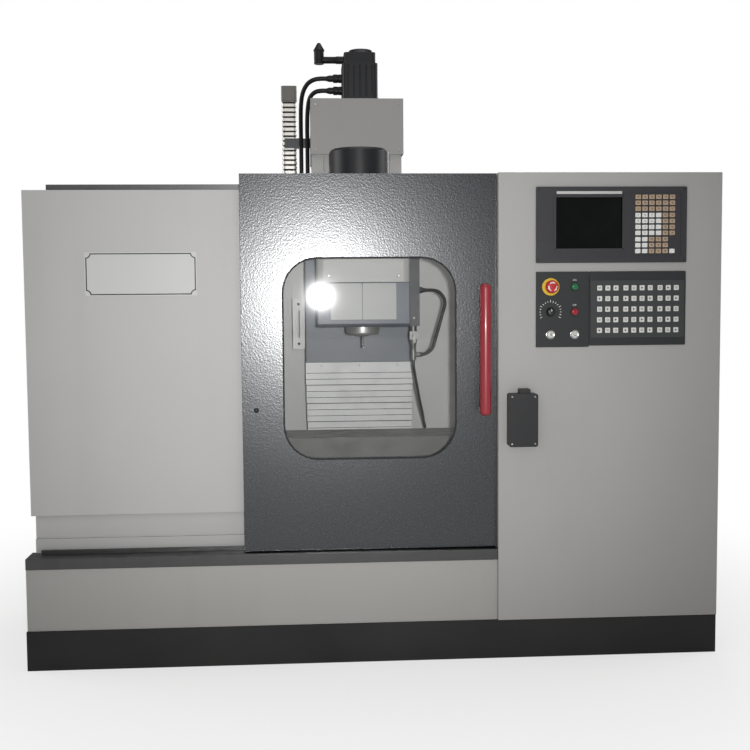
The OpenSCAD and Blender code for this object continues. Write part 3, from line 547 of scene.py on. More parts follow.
@dataclass(frozen=True)
class ClearPane:
    """Clear sheet of the door's window, with a faint haze."""

    tint: Colour
    haze: float = 0.02

    def make(self, name: str) -> bpy.types.Material:
        """Builds the material.

        Args:
            name: The material's name.

        Returns:
            The material.
        """
        bench = Bench(bpy.data.materials.new(name))
        wipes = bench.noise(1.0, (7.0, 7.0, 22.0), detail=4.0)
        clear = bench.node("ShaderNodeBsdfTransparent", inputs={"Color": (*self.tint, 1.0)})
        shine = bench.node(
            "ShaderNodeBsdfGlossy", inputs={"Color": (0.97, 0.97, 0.98, 1.0), "Roughness": 0.035}
        )
        film = bench.node("ShaderNodeBsdfDiffuse", inputs={"Color": (0.75, 0.77, 0.78, 1.0)})
        edge = bench.node("ShaderNodeFresnel", inputs={"IOR": 1.49})
        sheet = bench.node("ShaderNodeMixShader", inputs={0: edge, 1: clear, 2: shine})
        dusty = bench.ramp(wipes, 0.35, 0.8) * self.haze
        return bench.close(bench.node("ShaderNodeMixShader", inputs={0: dusty, 1: sheet, 2: film}))


Finish = Union[Paint, Hammertone, BareSteel, Gloss, ClearPane]

FINISHES: Dict[str, Finish] = {
    "enclosure_grey": Paint(srgb(177, 176, 175), rough=0.46, painted_crevice_shade=0.5, dust=0.10),
    "base_grey": Paint(srgb(162, 160, 157), rough=0.46, painted_crevice_shade=0.5, dust=0.2),
    "plinth_black": Paint(
        srgb(27, 28, 31), rough=0.55, relief=420.0, height=0.00010, dust=0.08, specular=0.25
    ),
    "door_slate": Hammertone(srgb(28, 32, 37), srgb(64, 68, 76)),
    "stainless": BareSteel(srgb(86, 86, 86), rough=0.34, painted_crevice_shade=0.5),
    "inner_white": Paint(srgb(207, 206, 204), rough=0.40, painted_crevice_shade=0.6, fade=0.08),
    "bed_iron": Paint(srgb(92, 96, 98), rough=0.5, relief=120.0, height=0.00012, painted_crevice_shade=0.5, fade=0.12),
    "column_grey": Paint(srgb(176, 175, 172), rough=0.44, relief=160.0, height=0.00008, painted_crevice_shade=0.5),
    "head_slate": Paint(srgb(102, 109, 119), rough=0.40, relief=300.0, height=0.00004, painted_crevice_shade=0.4),
    "cap_grey": Paint(srgb(148, 146, 145), rough=0.46, painted_crevice_shade=0.4),
    "motor_black": Paint(
        srgb(25, 26, 29), rough=0.42, relief=380.0, height=0.00004, painted_crevice_shade=0.4, specular=0.35
    ),
    "lead_black": Moulded(srgb(18, 18, 20), relief=700.0),
    "hose_black": Moulded(srgb(22, 22, 24), rough=0.4, relief=500.0, specular=0.4),
    "conduit_steel": BareSteel(
        srgb(216, 213, 207), rough=0.36, grain=Grain.ALL_ROUND, stain=0.04, metal=0.55, painted_crevice_shade=0.9
    ),
    "bracket_dark": Paint(srgb(56, 58, 62), rough=0.42, painted_crevice_shade=0.3),
    "cover_steel": BareSteel(
        srgb(206, 206, 205), rough=0.50, brush=0.08, stain=0.04, metal=0.35, painted_crevice_shade=0.9
    ),
    "rail_alu": BareSteel(
        srgb(214, 213, 211), rough=0.52, grain=Grain.ALONG_Z, stain=0.04, metal=0.3, painted_crevice_shade=0.5
    ),
    # The enclosure's paint, painted darker as shade.
    "cabinet_grey": Paint(srgb(162, 161, 159), rough=0.46, painted_crevice_shade=0.5, dust=0.12),
    "unit_grey": Moulded(srgb(52, 52, 55)),
    "screen_black": Gloss(srgb(16, 17, 17), rough=0.16, coat=0.0, specular=0.1),
    "key_mixed": Moulded(srgb(172, 150, 126), height=0.00002, specular=0.35),
    "key_white": Moulded(srgb(222, 221, 218), height=0.00002, specular=0.35),
    "plate_dark": Moulded(srgb(40, 42, 43)),
    "field_dark": Moulded(srgb(58, 60, 61), rough=0.45),
    "key_pale": Moulded(srgb(212, 211, 206), height=0.00002, specular=0.35),
    "collar_yellow": Paint(srgb(216, 180, 32), rough=0.4, relief=600.0, height=0.00002),
    "stop_red": Gloss(srgb(180, 28, 40), rough=0.28, coat=0.3),
    "knob_black": Moulded(srgb(24, 24, 26), rough=0.42, relief=700.0, specular=0.4),
    "lens_green": Gloss(srgb(14, 104, 58), rough=0.2, coat=0.4),
    "lens_red": Gloss(srgb(152, 22, 34), rough=0.2, coat=0.4),
    "lens_pale": Gloss(srgb(206, 204, 197), rough=0.3, coat=0.2),
    "box_black": Moulded(srgb(29, 30, 32), relief=500.0, height=0.00007, specular=0.35),
    "drive_grey": Paint(srgb(196, 196, 192), rough=0.5, relief=600.0, painted_crevice_shade=0.6),
    "window_clear": ClearPane((0.965, 0.968, 0.966)),
    "handle_red": Gloss(srgb(146, 36, 46), rough=0.3, coat=0.25),
    "post_chrome": BareSteel(
        srgb(196, 196, 197), rough=0.16, grain=Grain.ALL_ROUND, brush=0.04, stain=0.03, painted_crevice_shade=0.6
    ),
    "nylon": Moulded(srgb(222, 219, 208), relief=500.0, specular=0.5),
    "table_iron": BareSteel(srgb(98, 97, 95), rough=0.48, brush=0.04, stain=0.10, metal=0.45, painted_crevice_shade=0.6),
    "saddle_iron": Paint(srgb(76, 79, 82), rough=0.45, relief=130.0, height=0.00010, painted_crevice_shade=0.5),
    "screw_steel": BareSteel(srgb(178, 177, 174), rough=0.28, grain=Grain.ALL_ROUND, stain=0.06, painted_crevice_shade=0.5),
    "belt_grey": Paint(srgb(204, 203, 200), rough=0.42, painted_crevice_shade=0.4),
    "nose_steel": BareSteel(
        srgb(205, 204, 201), rough=0.34, grain=Grain.ALL_ROUND, stain=0.05, metal=0.6, painted_crevice_shade=0.5
    ),
    "valve_zinc": BareSteel(
        srgb(132, 131, 128), rough=0.42, grain=Grain.ALL_ROUND, stain=0.05, metal=0.6, painted_crevice_shade=0.6
    ),
    # Black rubber of the seals and wipers; also painted shade in the cover's grooves.
    "rubber_and_groove_shade": Moulded(srgb(28, 28, 30), rough=0.6, relief=600.0),
    "plate_bare": Paint(srgb(190, 190, 188), rough=0.40, relief=700.0, height=0.00002, fade=0.03),
    # Painted shade between the conduit's ribs.
    "painted_rib_shade": Moulded(srgb(44, 43, 42), rough=0.6, relief=600.0),
    "rib_collar": Moulded(srgb(104, 101, 96), rough=0.45, relief=600.0, specular=0.5),
    "mark_white": Moulded(srgb(222, 222, 218), relief=800.0, height=0.00002, fade=0.03),
    "mark_dark": Moulded(srgb(40, 41, 43), relief=800.0, height=0.00002, fade=0.03),
}


class Palette:
    """Makes each finish once and hands it out by name."""

    def __init__(self) -> None:
        """Starts with nothing mixed."""
        self.made: Dict[str, bpy.types.Material] = {}

    def get(self, name: str) -> bpy.types.Material:
        """The material of that name."""
        if name not in self.made:
            self.made[name] = FINISHES[name].make(name)
        return self.made[name]


# Modelling


@dataclass(frozen=True)
class PlateSize:
    """Sizes of an upright plate with round corners, in metres; one with a rim is a frame."""

    width: float
    height: float
    radius: float
    depth: float
    edge: float
    rim: float = 0.0


class Shop:
    """Modelling moves that the sub-assemblies share, made with Blender's own operators."""

    SHARP = math.radians(40)
    SMOOTH = math.radians(38)
    LEVEL = math.radians(0.6)
    WELD = 4e-5
    CORNER_FACES = 8
    OVERTURNED = 0.3
    TURNED_AREA = 1e-6
    SPARE_AREA = 3e-5

    @staticmethod
    def idle() -> None:
        """Leaves edit mode and deselects everything."""
        if bpy.context.mode != "OBJECT":
            bpy.ops.object.mode_set(mode="OBJECT")
        bpy.ops.object.select_all(action="DESELECT")

    @staticmethod
    def hold(*pieces: Piece) -> None:
        """Selects some pieces alone.

        Args:
            pieces: What to select; the first one becomes active.
        """
        Shop.idle()
        for piece in pieces:
            piece.select_set(True)
        bpy.context.view_layer.objects.active = pieces[0]

    @staticmethod
    def edit(piece: Piece) -> None:
        """Opens a piece in edit mode with everything selected."""
        Shop.hold(piece)
        bpy.ops.object.mode_set(mode="EDIT")
        bpy.ops.mesh.select_all(action="SELECT")

    @staticmethod
    def named(piece: Piece, name: str) -> Piece:
        """Names a piece and its mesh."""
        piece.name = name
        piece.data.name = name
        return piece

    @staticmethod
    def settle(piece: Piece, name: str) -> Piece:
        """Names a piece and moves its place into its mesh."""
        Shop.hold(piece)
        bpy.ops.object.transform_apply(location=True, rotation=True, scale=True)
        return Shop.named(piece, name)

    @staticmethod
    def pick_faces(piece: Piece, test: Callable[[Vector, Vector], bool]) -> None:
        """Opens a piece in edit mode with some faces selected.

        Args:
            piece: The piece to edit.
            test: Takes a face's middle and normal and says whether it is wanted.
        """
        Shop.hold(piece)
        bpy.context.tool_settings.mesh_select_mode = (False, False, True)
        for part in (*piece.data.vertices, *piece.data.edges):
            part.select = False
        for face in piece.data.polygons:
            face.select = test(face.center, face.normal)
        bpy.ops.object.mode_set(mode="EDIT")

    @staticmethod
    def round_edges(piece: Piece, width: float, segments: int = 2) -> Piece:
        """Rounds every sharp edge and shades the rest smooth.

        Args:
            piece: The piece to finish.
            width: Width of the rounding in metres; 0 only shades.
            segments: Faces across one rounding.

        Returns:
            The piece.
        """
        Shop.hold(piece)
        if width > 0:
            bevel = piece.modifiers.new("edges", "BEVEL")
            bevel.width = width
            bevel.segments = segments
            bevel.limit_method = "ANGLE"
            bevel.angle_limit = Shop.SHARP
            bpy.ops.object.modifier_apply(modifier=bevel.name)
        bpy.ops.object.shade_smooth_by_angle(angle=Shop.SMOOTH)
        if width > 0:
            flat = piece.modifiers.new("normals", "WEIGHTED_NORMAL")
            flat.weight = 90
            flat.keep_sharp = True
            bpy.ops.object.modifier_apply(modifier=flat.name)
        return piece

    @staticmethod
    def block(name: str, low: Point, high: Point, edge: float) -> Piece:
        """Box with rounded edges.

        Args:
            name: The piece's name.
            low, high: Its corners.
            edge: Width of the rounding in metres.

        Returns:
            The box.
        """
        Shop.idle()
        bpy.ops.mesh.primitive_cube_add(size=1.0, location=[(a + b) / 2 for a, b in zip(low, high)])
        piece = bpy.context.object
        piece.scale = [b - a for a, b in zip(low, high)]
        return Shop.round_edges(Shop.settle(piece, name), edge)

    @staticmethod
    def sheet(name: str, centre: Point, width: float, height: float, radius: float) -> Piece:
        """Flat upright face towards the front with round corners.

        Args:
            name: The piece's name.
            centre: Its middle.
            width, height: Its size along X and Z.
            radius: Size of the corners.

        Returns:
            The face, left in object mode.
        """
        Shop.idle()
        bpy.ops.mesh.primitive_plane_add(size=1.0, location=centre, rotation=UPRIGHT)
        piece = bpy.context.object
        piece.scale = (width, height, 1.0)
        Shop.settle(piece, name)
        Shop.edit(piece)
        bpy.ops.mesh.bevel(
            offset=radius, segments=Shop.CORNER_FACES, profile=0.5, affect="VERTICES"
        )
        bpy.ops.object.mode_set(mode="OBJECT")
        return piece

    @staticmethod
    def thicken(piece: Piece, depth: float, edge: float) -> Piece:
        """Gives a face depth towards the back and rounds its edges.

        Args:
            piece: The face.
            depth: Its wall in metres.
            edge: Width of the rounding in metres.

        Returns:
            The piece.
        """
        Shop.hold(piece)
        wall = piece.modifiers.new("wall", "SOLIDIFY")
        wall.thickness = depth
        wall.offset = -1.0
        bpy.ops.object.modifier_apply(modifier=wall.name)
        return Shop.round_edges(piece, edge, 2)

    @staticmethod
    def plate(name: str, centre: Point, size: PlateSize) -> Piece:
        """Upright plate or frame with round corners.

        Args:
            name: The piece's name.
            centre: Middle of its front.
            size: Its sizes.

        Returns:
            The piece.
        """
        piece = Shop.sheet(name, centre, size.width, size.height, size.radius)
        if size.rim:
            Shop.edit(piece)
            bpy.ops.mesh.inset(thickness=size.rim, depth=0.0)
            bpy.ops.mesh.delete(type="FACE")
            bpy.ops.object.mode_set(mode="OBJECT")
        return Shop.thicken(piece, size.depth, size.edge)

    @staticmethod
    def band(name: str, outer: Sequence[Point], inner: Sequence[Point], depth: float) -> Piece:
        """Thin band between two closed outlines, which faces the front.

        Args:
            name: The piece's name.
            outer, inner: The outlines, of as many points.
            depth: How far the band goes back.

        Returns:
            The band.
        """
        loops: List[Piece] = []
        for outline in (outer, inner):
            Shop.idle()
            bpy.ops.mesh.primitive_circle_add(vertices=len(outline), radius=1.0, fill_type="NOTHING")
            loops.append(bpy.context.object)
            for vertex, point in zip(loops[-1].data.vertices, outline):
                vertex.co = point
        piece = Shop.join(name, loops)
        Shop.edit(piece)
        bpy.ops.mesh.bridge_edge_loops()
        bpy.ops.mesh.extrude_region_move(TRANSFORM_OT_translate={"value": (0.0, depth, 0.0)})
        bpy.ops.mesh.select_all(action="SELECT")
        bpy.ops.mesh.normals_make_consistent(inside=False)
        bpy.ops.object.mode_set(mode="OBJECT")
        return Shop.round_edges(piece, 0.0)

    @staticmethod
    def turned(
        name: str, profile: Profile, centre: Point, axis: Vector,
        sweep: float = 360.0, start: float = 0.0, steps: int = 48,
    ) -> Piece:
        """Turned piece.

        Args:
            name: The piece's name.
            profile: Closed outline as pairs of radius and distance along the axis.
            centre: Where the axis starts.
            axis: Direction of the axis.
            sweep: How far the outline is turned, in degrees.
            start: Where the turn starts, in degrees.
            steps: Faces round the turn.

        Returns:
            The piece.
        """
        Shop.idle()
        bpy.ops.mesh.primitive_circle_add(vertices=len(profile), radius=1.0, fill_type="NOTHING")
        piece = bpy.context.object
        side = Vector((1.0, 0.0, 0.0)) if abs(axis.x) < 0.5 else Vector((0.0, 1.0, 0.0))
        side.rotate(Matrix.Rotation(math.radians(start), 3, axis))
        for vertex, (radius, along) in zip(piece.data.vertices, profile):
            vertex.co = Vector(centre) + side * radius + axis * along
        Shop.edit(piece)
        bpy.ops.mesh.spin(steps=steps, angle=math.radians(sweep), center=centre, axis=axis)
        bpy.ops.mesh.select_all(action="SELECT")
        bpy.ops.mesh.remove_doubles(threshold=1e-6)
        if sweep < 360.0:
            bpy.ops.mesh.fill_holes(sides=0)
        bpy.ops.mesh.normals_make_consistent(inside=False)
        bpy.ops.object.mode_set(mode="OBJECT")
        return Shop.round_edges(Shop.named(piece, name), 0.0)

    @staticmethod
    def screw(radius: float) -> Piece:
        """Pan-head screw with a round socket, at the origin, its head towards the front.

        Args:
            radius: Half the head's width, of which its other sizes are shares.

        Returns:
            The screw.
        """
        Shop.idle()
        bpy.ops.mesh.primitive_cylinder_add(
            vertices=18, radius=radius, depth=radius, location=(0, -radius / 2, 0), rotation=UPRIGHT
        )
        piece = Shop.settle(bpy.context.object, "screw")
        Shop.pick_faces(piece, lambda middle, normal: normal.y < -0.9)
        bpy.ops.mesh.inset(thickness=0.22 * radius, depth=0.12 * radius)
        bpy.ops.mesh.inset(thickness=0.28 * radius, depth=0.0)
        bpy.ops.mesh.extrude_region_move(TRANSFORM_OT_translate={"value": (0.0, 0.5 * radius, 0.0)})
        bpy.ops.object.mode_set(mode="OBJECT")
        return Shop.round_edges(piece, 0.0)

    @staticmethod
    def repeat(name: str, pattern: Piece, places: Sequence[Matrix]) -> Piece:
        """Copies a pattern to each place and joins the copies.

        Args:
            name: Name of the joined piece.
            pattern: What is copied; it is used up.
            places: Where each copy goes.

        Returns:
            The joined piece.
        """
        copies: List[Piece] = []
        for place in places:
            copy = pattern.copy()
            copy.data = pattern.data.copy()
            bpy.context.collection.objects.link(copy)
            copy.matrix_world = place
            copies.append(copy)
        bpy.data.objects.remove(pattern)
        Shop.hold(*copies)
        bpy.ops.object.transform_apply(location=True, rotation=True, scale=True)
        if len(copies) > 1:
            bpy.ops.object.join()
        return Shop.named(bpy.context.view_layer.objects.active, name)

    @staticmethod
    def join(name: str, pieces: Sequence[Piece]) -> Piece:
        """Makes several pieces one mesh.

        Args:
            name: Name of the joined piece.
            pieces: What is joined; they are used up.

        Returns:
            The joined piece.
        """
        Shop.hold(*pieces)
        bpy.ops.object.join()
        return Shop.named(bpy.context.view_layer.objects.active, name)

    @staticmethod
    def soften(node: str, edge: float, segments: int = 2) -> Piece:
        """Copy of a CAD node with rounded edges and smooth rounds.

        Args:
            node: The node's name.
            edge: Width of the rounding in metres.
            segments: Faces across one rounding.

        Returns:
            The copy, which stands where the node does.
        """
        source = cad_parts[node].data
        piece = bpy.data.objects.new(f"{node}_finished", source.copy())
        bpy.context.collection.objects.link(piece)
        for whole_faces in (True, False):
            piece.data = source.copy()
            Shop.edit(piece)
            bpy.ops.mesh.remove_doubles(threshold=Shop.WELD)
            if whole_faces:
                bpy.ops.mesh.dissolve_limited(angle_limit=Shop.LEVEL)
            else:
                bpy.ops.mesh.tris_convert_to_quads(face_threshold=Shop.LEVEL, shape_threshold=math.pi)
            bpy.ops.object.mode_set(mode="OBJECT")
            Shop.round_edges(piece, edge, segments)
            if not Shop.folded(piece):
                break
        LOG.info("%s softened, whole faces: %s", node, whole_faces)
        return piece

    @staticmethod
    def folded(piece: Piece) -> bool:
        """Tells whether some faces of a piece lie over themselves.

        Args:
            piece: The piece.

        Returns:
            True where triangles are turned over or cover more than their faces.
        """
        mesh = piece.data
        mesh.calc_loop_triangles()
        spare = [-face.area for face in mesh.polygons]
        turned = 0.0
        for part in mesh.loop_triangles:
            spare[part.polygon_index] += part.area
            if part.normal.dot(mesh.polygons[part.polygon_index].normal) < Shop.OVERTURNED:
                turned += part.area
        return turned > Shop.TURNED_AREA or sum(map(abs, spare)) > Shop.SPARE_AREA

    @staticmethod
    def word(text: str, place: Point, size: float, middle: bool = False) -> Piece:
        """Thin word or number that faces the front.

        Args:
            text: What it says.
            place: Where it stands.
            size: Height of its letters in metres.
            middle: Whether the place is its middle and not its foot.

        Returns:
            The word as a mesh.
        """
        Shop.idle()
        bpy.ops.object.text_add(location=place, rotation=UPRIGHT)
        piece = bpy.context.object
        piece.data.body = text
        piece.data.size = size
        piece.data.align_x = "CENTER"
        if middle:
            piece.data.align_y = "CENTER"
        piece.data.extrude = 0.0001
        bpy.ops.object.convert(target="MESH")
        return Shop.settle(bpy.context.object, f"word_{text.lower()}")

    @staticmethod
    def smooth_path(points: Sequence[Point], parts: int) -> List[Vector]:
        """Smooth curve through some points.

        Args:
            points: The knots that it goes through.
            parts: Steps between each two knots.

        Returns:
            The points along the curve.
        """
        knots = [Vector(p) for p in points]
        knots = [2 * knots[0] - knots[1], *knots, 2 * knots[-1] - knots[-2]]
        path: List[Vector] = []
        for a, b, c, d in zip(knots, knots[1:], knots[2:], knots[3:]):
            for k in range(parts):
                t = k / parts
                path.append(0.5 * (
                    2 * b + (c - a) * t + (2 * a - 5 * b + 4 * c - d) * t * t
                    + (3 * b - a - 3 * c + d) * t ** 3
                ))
        path.append(knots[-2])
        return path

    @staticmethod
    def tube(name: str, path: Sequence[Vector], diameter: float) -> Piece:
        """Round tube as a curve of one open spline.

        Args:
            name: The piece's name.
            path: The points that it follows.
            diameter: Its thickness in metres.

        Returns:
            The curve.
        """
        curve = bpy.data.curves.new(name, "CURVE")
        curve.dimensions = "3D"
        curve.bevel_depth = diameter / 2
        curve.bevel_resolution = 5
        curve.use_fill_caps = True
        spline = curve.splines.new("POLY")
        spline.points.add(len(path) - 1)
        for knot, point in zip(spline.points, path):
            knot.co = (*point, 1.0)
        spline.use_smooth = True
        piece = bpy.data.objects.new(name, curve)
        bpy.context.collection.objects.link(piece)
        return piece


def path_length(path: Sequence[Vector]) -> float:
    """Length along a row of points."""
    return sum((b - a).length for a, b in zip(path, path[1:]))


@dataclass(frozen=True)
class Coat:
    """How one CAD node is finished."""

    node: str
    slot: str
    body: Body
    edge: float
    segments: int = 2


@dataclass
class Assembly:
    """A sub-assembly: CAD nodes that it finishes and small parts that it adds."""

    palette: Palette
    coats: Tuple[Coat, ...] = ()

    def wear(
        self,
        piece: Piece,
        body: Optional[Body],
        slot: str,
        finish: Optional[str] = None,
        nodes: Sequence[str] = (),
    ) -> Piece:
        """Gives a piece its finish and its body.

        Args:
            piece: The piece.
            body: What it moves with; none for a piece that spans two bodies, which is left unattached.
            slot: The record's material slot; its finish is used if none is named.
            finish: Name of its finish, if it isn't the slot's own.
            nodes: CAD nodes that it stands for.

        Returns:
            The piece.
        """
        piece.data.materials.clear()
        piece.data.materials.append(self.palette.get(finish or slot))
        if body:
            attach(piece, body.value)
        if nodes:
            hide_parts(*nodes)
        LOG.info("%s rides on %s", piece.name, body.value if body else "two bodies")
        return piece

    def finish_nodes(self) -> None:
        """Softens and paints each CAD node of the sub-assembly."""
        for coat in self.coats:
            piece = Shop.soften(coat.node, coat.edge, coat.segments)
            self.wear(piece, coat.body, coat.slot, nodes=(coat.node,))

    def screws(
        self,
        name: str,
        body: Body,
        radius: float,
        heads: Sequence[Point],
        turn: float = 0.0,
        slot: str = "screw_steel",
    ) -> None:
        """Sets screws.

        Args:
            name: Name of the joined screws.
            body: What they move with.
            radius: Half a head's width.
            heads: Where each head sits.
            turn: Turn about Z in degrees, from heads that face the front.
            slot: The record's material slot.
        """
        spin = Matrix.Rotation(math.radians(turn), 4, "Z")
        places = [Matrix.Translation(head) @ spin for head in heads]
        self.wear(Shop.repeat(name, Shop.screw(radius), places), body, slot)

    def build(self) -> None:
        """Makes the sub-assembly."""
        self.finish_nodes()


@dataclass
class Studio:
    """Camera, lamps, floor and background."""

    eye: Point = (-0.225, -4.21975, 1.203)
    yaw: float = 3.60
    pitch: float = 4.03
    roll: float = -0.45
    lens: float = 52.1
    aim: Point = (0.0, 0.0, 1.0)
    ambient: float = 0.18
    mirrored: float = 0.22
    flash_place: Point = (-0.13, -4.25, 1.22)
    flash_aim: Point = (-0.12, -0.70, 1.20)
    flash_power: float = 325.0
    flash_beam: float = 58.0
    flash_radius: float = 0.036
    lamps: Tuple[Tuple[str, Point, float, float], ...] = (
        ("key_lamp", (-2.7, -4.6, 3.1), 2.2, 18.0),
        ("fill_lamp", (3.2, -4.6, 2.2), 2.6, 9.0),
        ("top_lamp", (0.2, -0.6, 4.6), 2.6, 42.0),
        ("rear_lamp", (1.6, 4.4, 3.0), 2.4, 95.0),
        ("left_lamp", (-4.4, 0.6, 2.2), 2.4, 60.0),
        ("right_lamp", (4.4, 0.6, 2.2), 2.4, 50.0),
    )
    floor_size: float = 60.0
    floor_z: float = -0.0006
    floor_colour: Colour = (0.86, 0.86, 0.855)
    floor_mirrored: float = 0.4
    white_near: float = 0.62
    white_reach: Pair = (0.9, 2.6)

    def build(self) -> None:
        """Sets up the whole studio."""
        bpy.context.scene.view_settings.view_transform = "Standard"
        self.set_camera()
        self.set_world()
        self.lay_floor()
        self.fire_flash()
        for lamp in self.lamps:
            self.hang_lamp(*lamp)

    def fire_flash(self) -> None:
        """Camera flash: a small lamp whose beam fades towards its edge."""
        data = bpy.data.lights.new("flash", "SPOT")
        data.energy = self.flash_power
        data.shadow_soft_size = self.flash_radius
        data.spot_size = math.radians(self.flash_beam)
        data.spot_blend = 1.0
        self.point_lamp(data, self.flash_place, self.flash_aim)

    @staticmethod
    def point_lamp(data: bpy.types.Light, place: Point, aim: Point) -> None:
        """Hangs a lamp and points it.

        Args:
            data: The lamp's light.
            place: Where it hangs.
            aim: What it points at.
        """
        lamp = bpy.data.objects.new(data.name, data)
        lamp.location = place
        lamp.rotation_euler = (Vector(aim) - Vector(place)).to_track_quat("-Z", "Y").to_euler()
        bpy.context.collection.objects.link(lamp)

    def set_camera(self) -> None:
        """Stands the camera at the photograph's viewing point."""
        camera = bpy.data.objects.new("camera", bpy.data.cameras.new("camera"))
        camera.data.sensor_fit = "HORIZONTAL"
        camera.data.sensor_width = 36.0
        camera.data.lens = self.lens
        camera.matrix_world = (
            Matrix.Translation(self.eye)
            @ Matrix.Rotation(math.radians(-self.yaw), 4, "Z")
            @ Matrix.Rotation(math.radians(90.0 - self.pitch), 4, "X")
            @ Matrix.Rotation(math.radians(self.roll), 4, "Z")
        )
        bpy.context.collection.objects.link(camera)
        bpy.context.scene.camera = camera

    def hang_lamp(self, name: str, place: Point, size: float, power: float) -> None:
        """Hangs a soft lamp that points at the machine.

        Args:
            name: The lamp's name.
            place: Where it hangs.
            size: How wide it is in metres.
            power: Its power in watts.
        """
        data = bpy.data.lights.new(name, "AREA")
        data.size = size
        data.energy = power
        self.point_lamp(data, place, self.aim)

    def set_world(self) -> None:
        """White behind the machine, softer as a light on it."""
        bpy.context.scene.world = bpy.data.worlds.new("studio")
        bench = Bench(bpy.context.scene.world)
        seen, glint, glass = bench.rays()
        shown = bench.node(
            "ShaderNodeMix",
            inputs={"Factor": glint.most(glass), "A": self.ambient, "B": self.mirrored},
            out="Result",
        )
        level = bench.node("ShaderNodeMix", inputs={"Factor": seen, "A": shown, "B": 1.0}, out="Result")
        sky = {"Color": (1.0, 1.0, 1.0, 1.0), "Strength": level}
        bench.close(bench.node("ShaderNodeBackground", inputs=sky))

    def lay_floor(self) -> None:
        """Pale floor that keeps the machine's shadow."""
        Shop.idle()
        bpy.ops.mesh.primitive_plane_add(size=self.floor_size, location=(0.0, 0.0, self.floor_z))
        floor = Shop.settle(bpy.context.object, "studio_floor")
        bench = Bench(bpy.data.materials.new("studio_floor"))
        seen, glint, glass = bench.rays()
        matt = bench.node("ShaderNodeBsdfDiffuse", inputs={"Color": (*self.floor_colour, 1.0)})
        white = bench.node("ShaderNodeEmission", inputs={"Color": (1.0, 1.0, 1.0, 1.0), "Strength": 1.0})
        away = bench.node("ShaderNodeVectorMath", {"operation": "LENGTH"}, {0: bench.place()}, out="Value")
        whiter = self.white_near + (1 - self.white_near) * bench.ramp(away, *self.white_reach)
        share = seen.most(glint * self.floor_mirrored).most(glass) * whiter
        floor.data.materials.append(
            bench.close(bench.node("ShaderNodeMixShader", inputs={0: share, 1: matt, 2: white}))
        )


@dataclass
class Hoses(Assembly):
    """The coolant loop beside the head and the thin supply hose behind it."""

    loop_d: float = 0.012
    loop_bend: float = 0.049
    loop_top: float = 0.132
    loop_low: float = -0.106
    top_turn: float = 0.048
    low_turn: float = 0.0079
    loop_ends: Tuple[float, float, float] = (0.012, 0.030, 0.003)
    drop_start: Pair = (0.0951, 0.0695)
    drop_step: Pair = (-0.00802, -0.028)
    drop_knots: int = 6
    sleeve: Profile = (
        (0.0056, 0.0), (0.0082, 0.0), (0.0088, 0.0008), (0.0088, 0.0036),
        (0.0080, 0.0044), (0.0080, 0.0078), (0.0070, 0.0090), (0.0056, 0.0090),
    )
    duct: Point = (0.191, centre_of("coolant_duct", Y), low_of("coolant_duct", Z))
    supply_d: float = 0.011
    # Knots in millimetres; Y counts from the duct's middle.
    supply: Tuple[Point, ...] = tuple(
        (x * MM, centre_of("coolant_duct", Y) + y * MM, z * MM)
        for x, y, z in (
            (170, 0, 975), (170, 0, 955), (174, 10, 929), (181, 31, 899), (190, 62, 867),
            (200, 102, 829), (212, 150, 789), (225, 204, 749), (238, 289, 714), (250, 349, 680),
            (246, 403, 654), (263, 445, 637), (272, 479, 630), (272, 499, 630),
        )
    )
    bend_zone: Tuple[Point, Point] = ((0.17, -0.100, 0.700), (0.17, -0.260, 1.010))

    def loop_route(self) -> List[Point]:
        """Lays out the coolant loop: out of the duct, round, down and back to the valve.

        Returns:
            Its knots.
        """
        bend, top, low = self.loop_bend, self.loop_top, self.loop_low
        start, level, end = self.loop_ends
        (drop_x, drop_z), (step_x, step_z) = self.drop_start, self.drop_step
        down = [math.radians(a) for a in range(90, -1, -15)]
        back = [math.radians(a) for a in range(-31, -77, -15)]
        flat = [(start, top), (level, top)]
        flat += [(self.top_turn + bend * math.cos(a), top + bend * (math.sin(a) - 1)) for a in down]
        flat += [(drop_x + step_x * k, drop_z + step_z * k) for k in range(self.drop_knots)]
        flat += [(self.low_turn + bend * math.cos(a), low + bend * (math.sin(a) + 1)) for a in back]
        flat += [(self.low_turn, low), (end, low)]
        x, y, z = self.duct
        return [(x + a, y, z + b) for a, b in flat]

    def sleeves(self, path: Sequence[Vector]) -> None:
        """Short black sleeves on both ends of the coolant loop.

        Args:
            path: The points that the loop follows.
        """
        pieces = [
            Shop.turned("sleeve", self.sleeve, tuple(start), RIGHT, steps=24)
            for start in (path[0], path[-1])
        ]
        self.wear(Shop.join("loop_sleeves", pieces), Body.HEAD, "hose_black")

    def build(self) -> None:
        """Lays both hoses."""
        path = Shop.smooth_path(self.loop_route(), 2)
        self.sleeves(path)
        piece = Shop.tube("coolant_loop", path, self.loop_d)
        self.wear(piece, Body.HEAD, "hose_black", nodes=("coolant_hose",))
        round(path_length(path), 4)
        path = Shop.smooth_path(self.supply, 3)
        piece = Shop.tube("supply_line", path, self.supply_d)
        Shop.hold(piece)
        bpy.ops.object.convert(target="MESH")
        piece = bpy.context.object
        self.wear(piece, None, "hose_black", nodes=("supply_hose",))
        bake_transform(piece)
        round(path_length(path), 4)


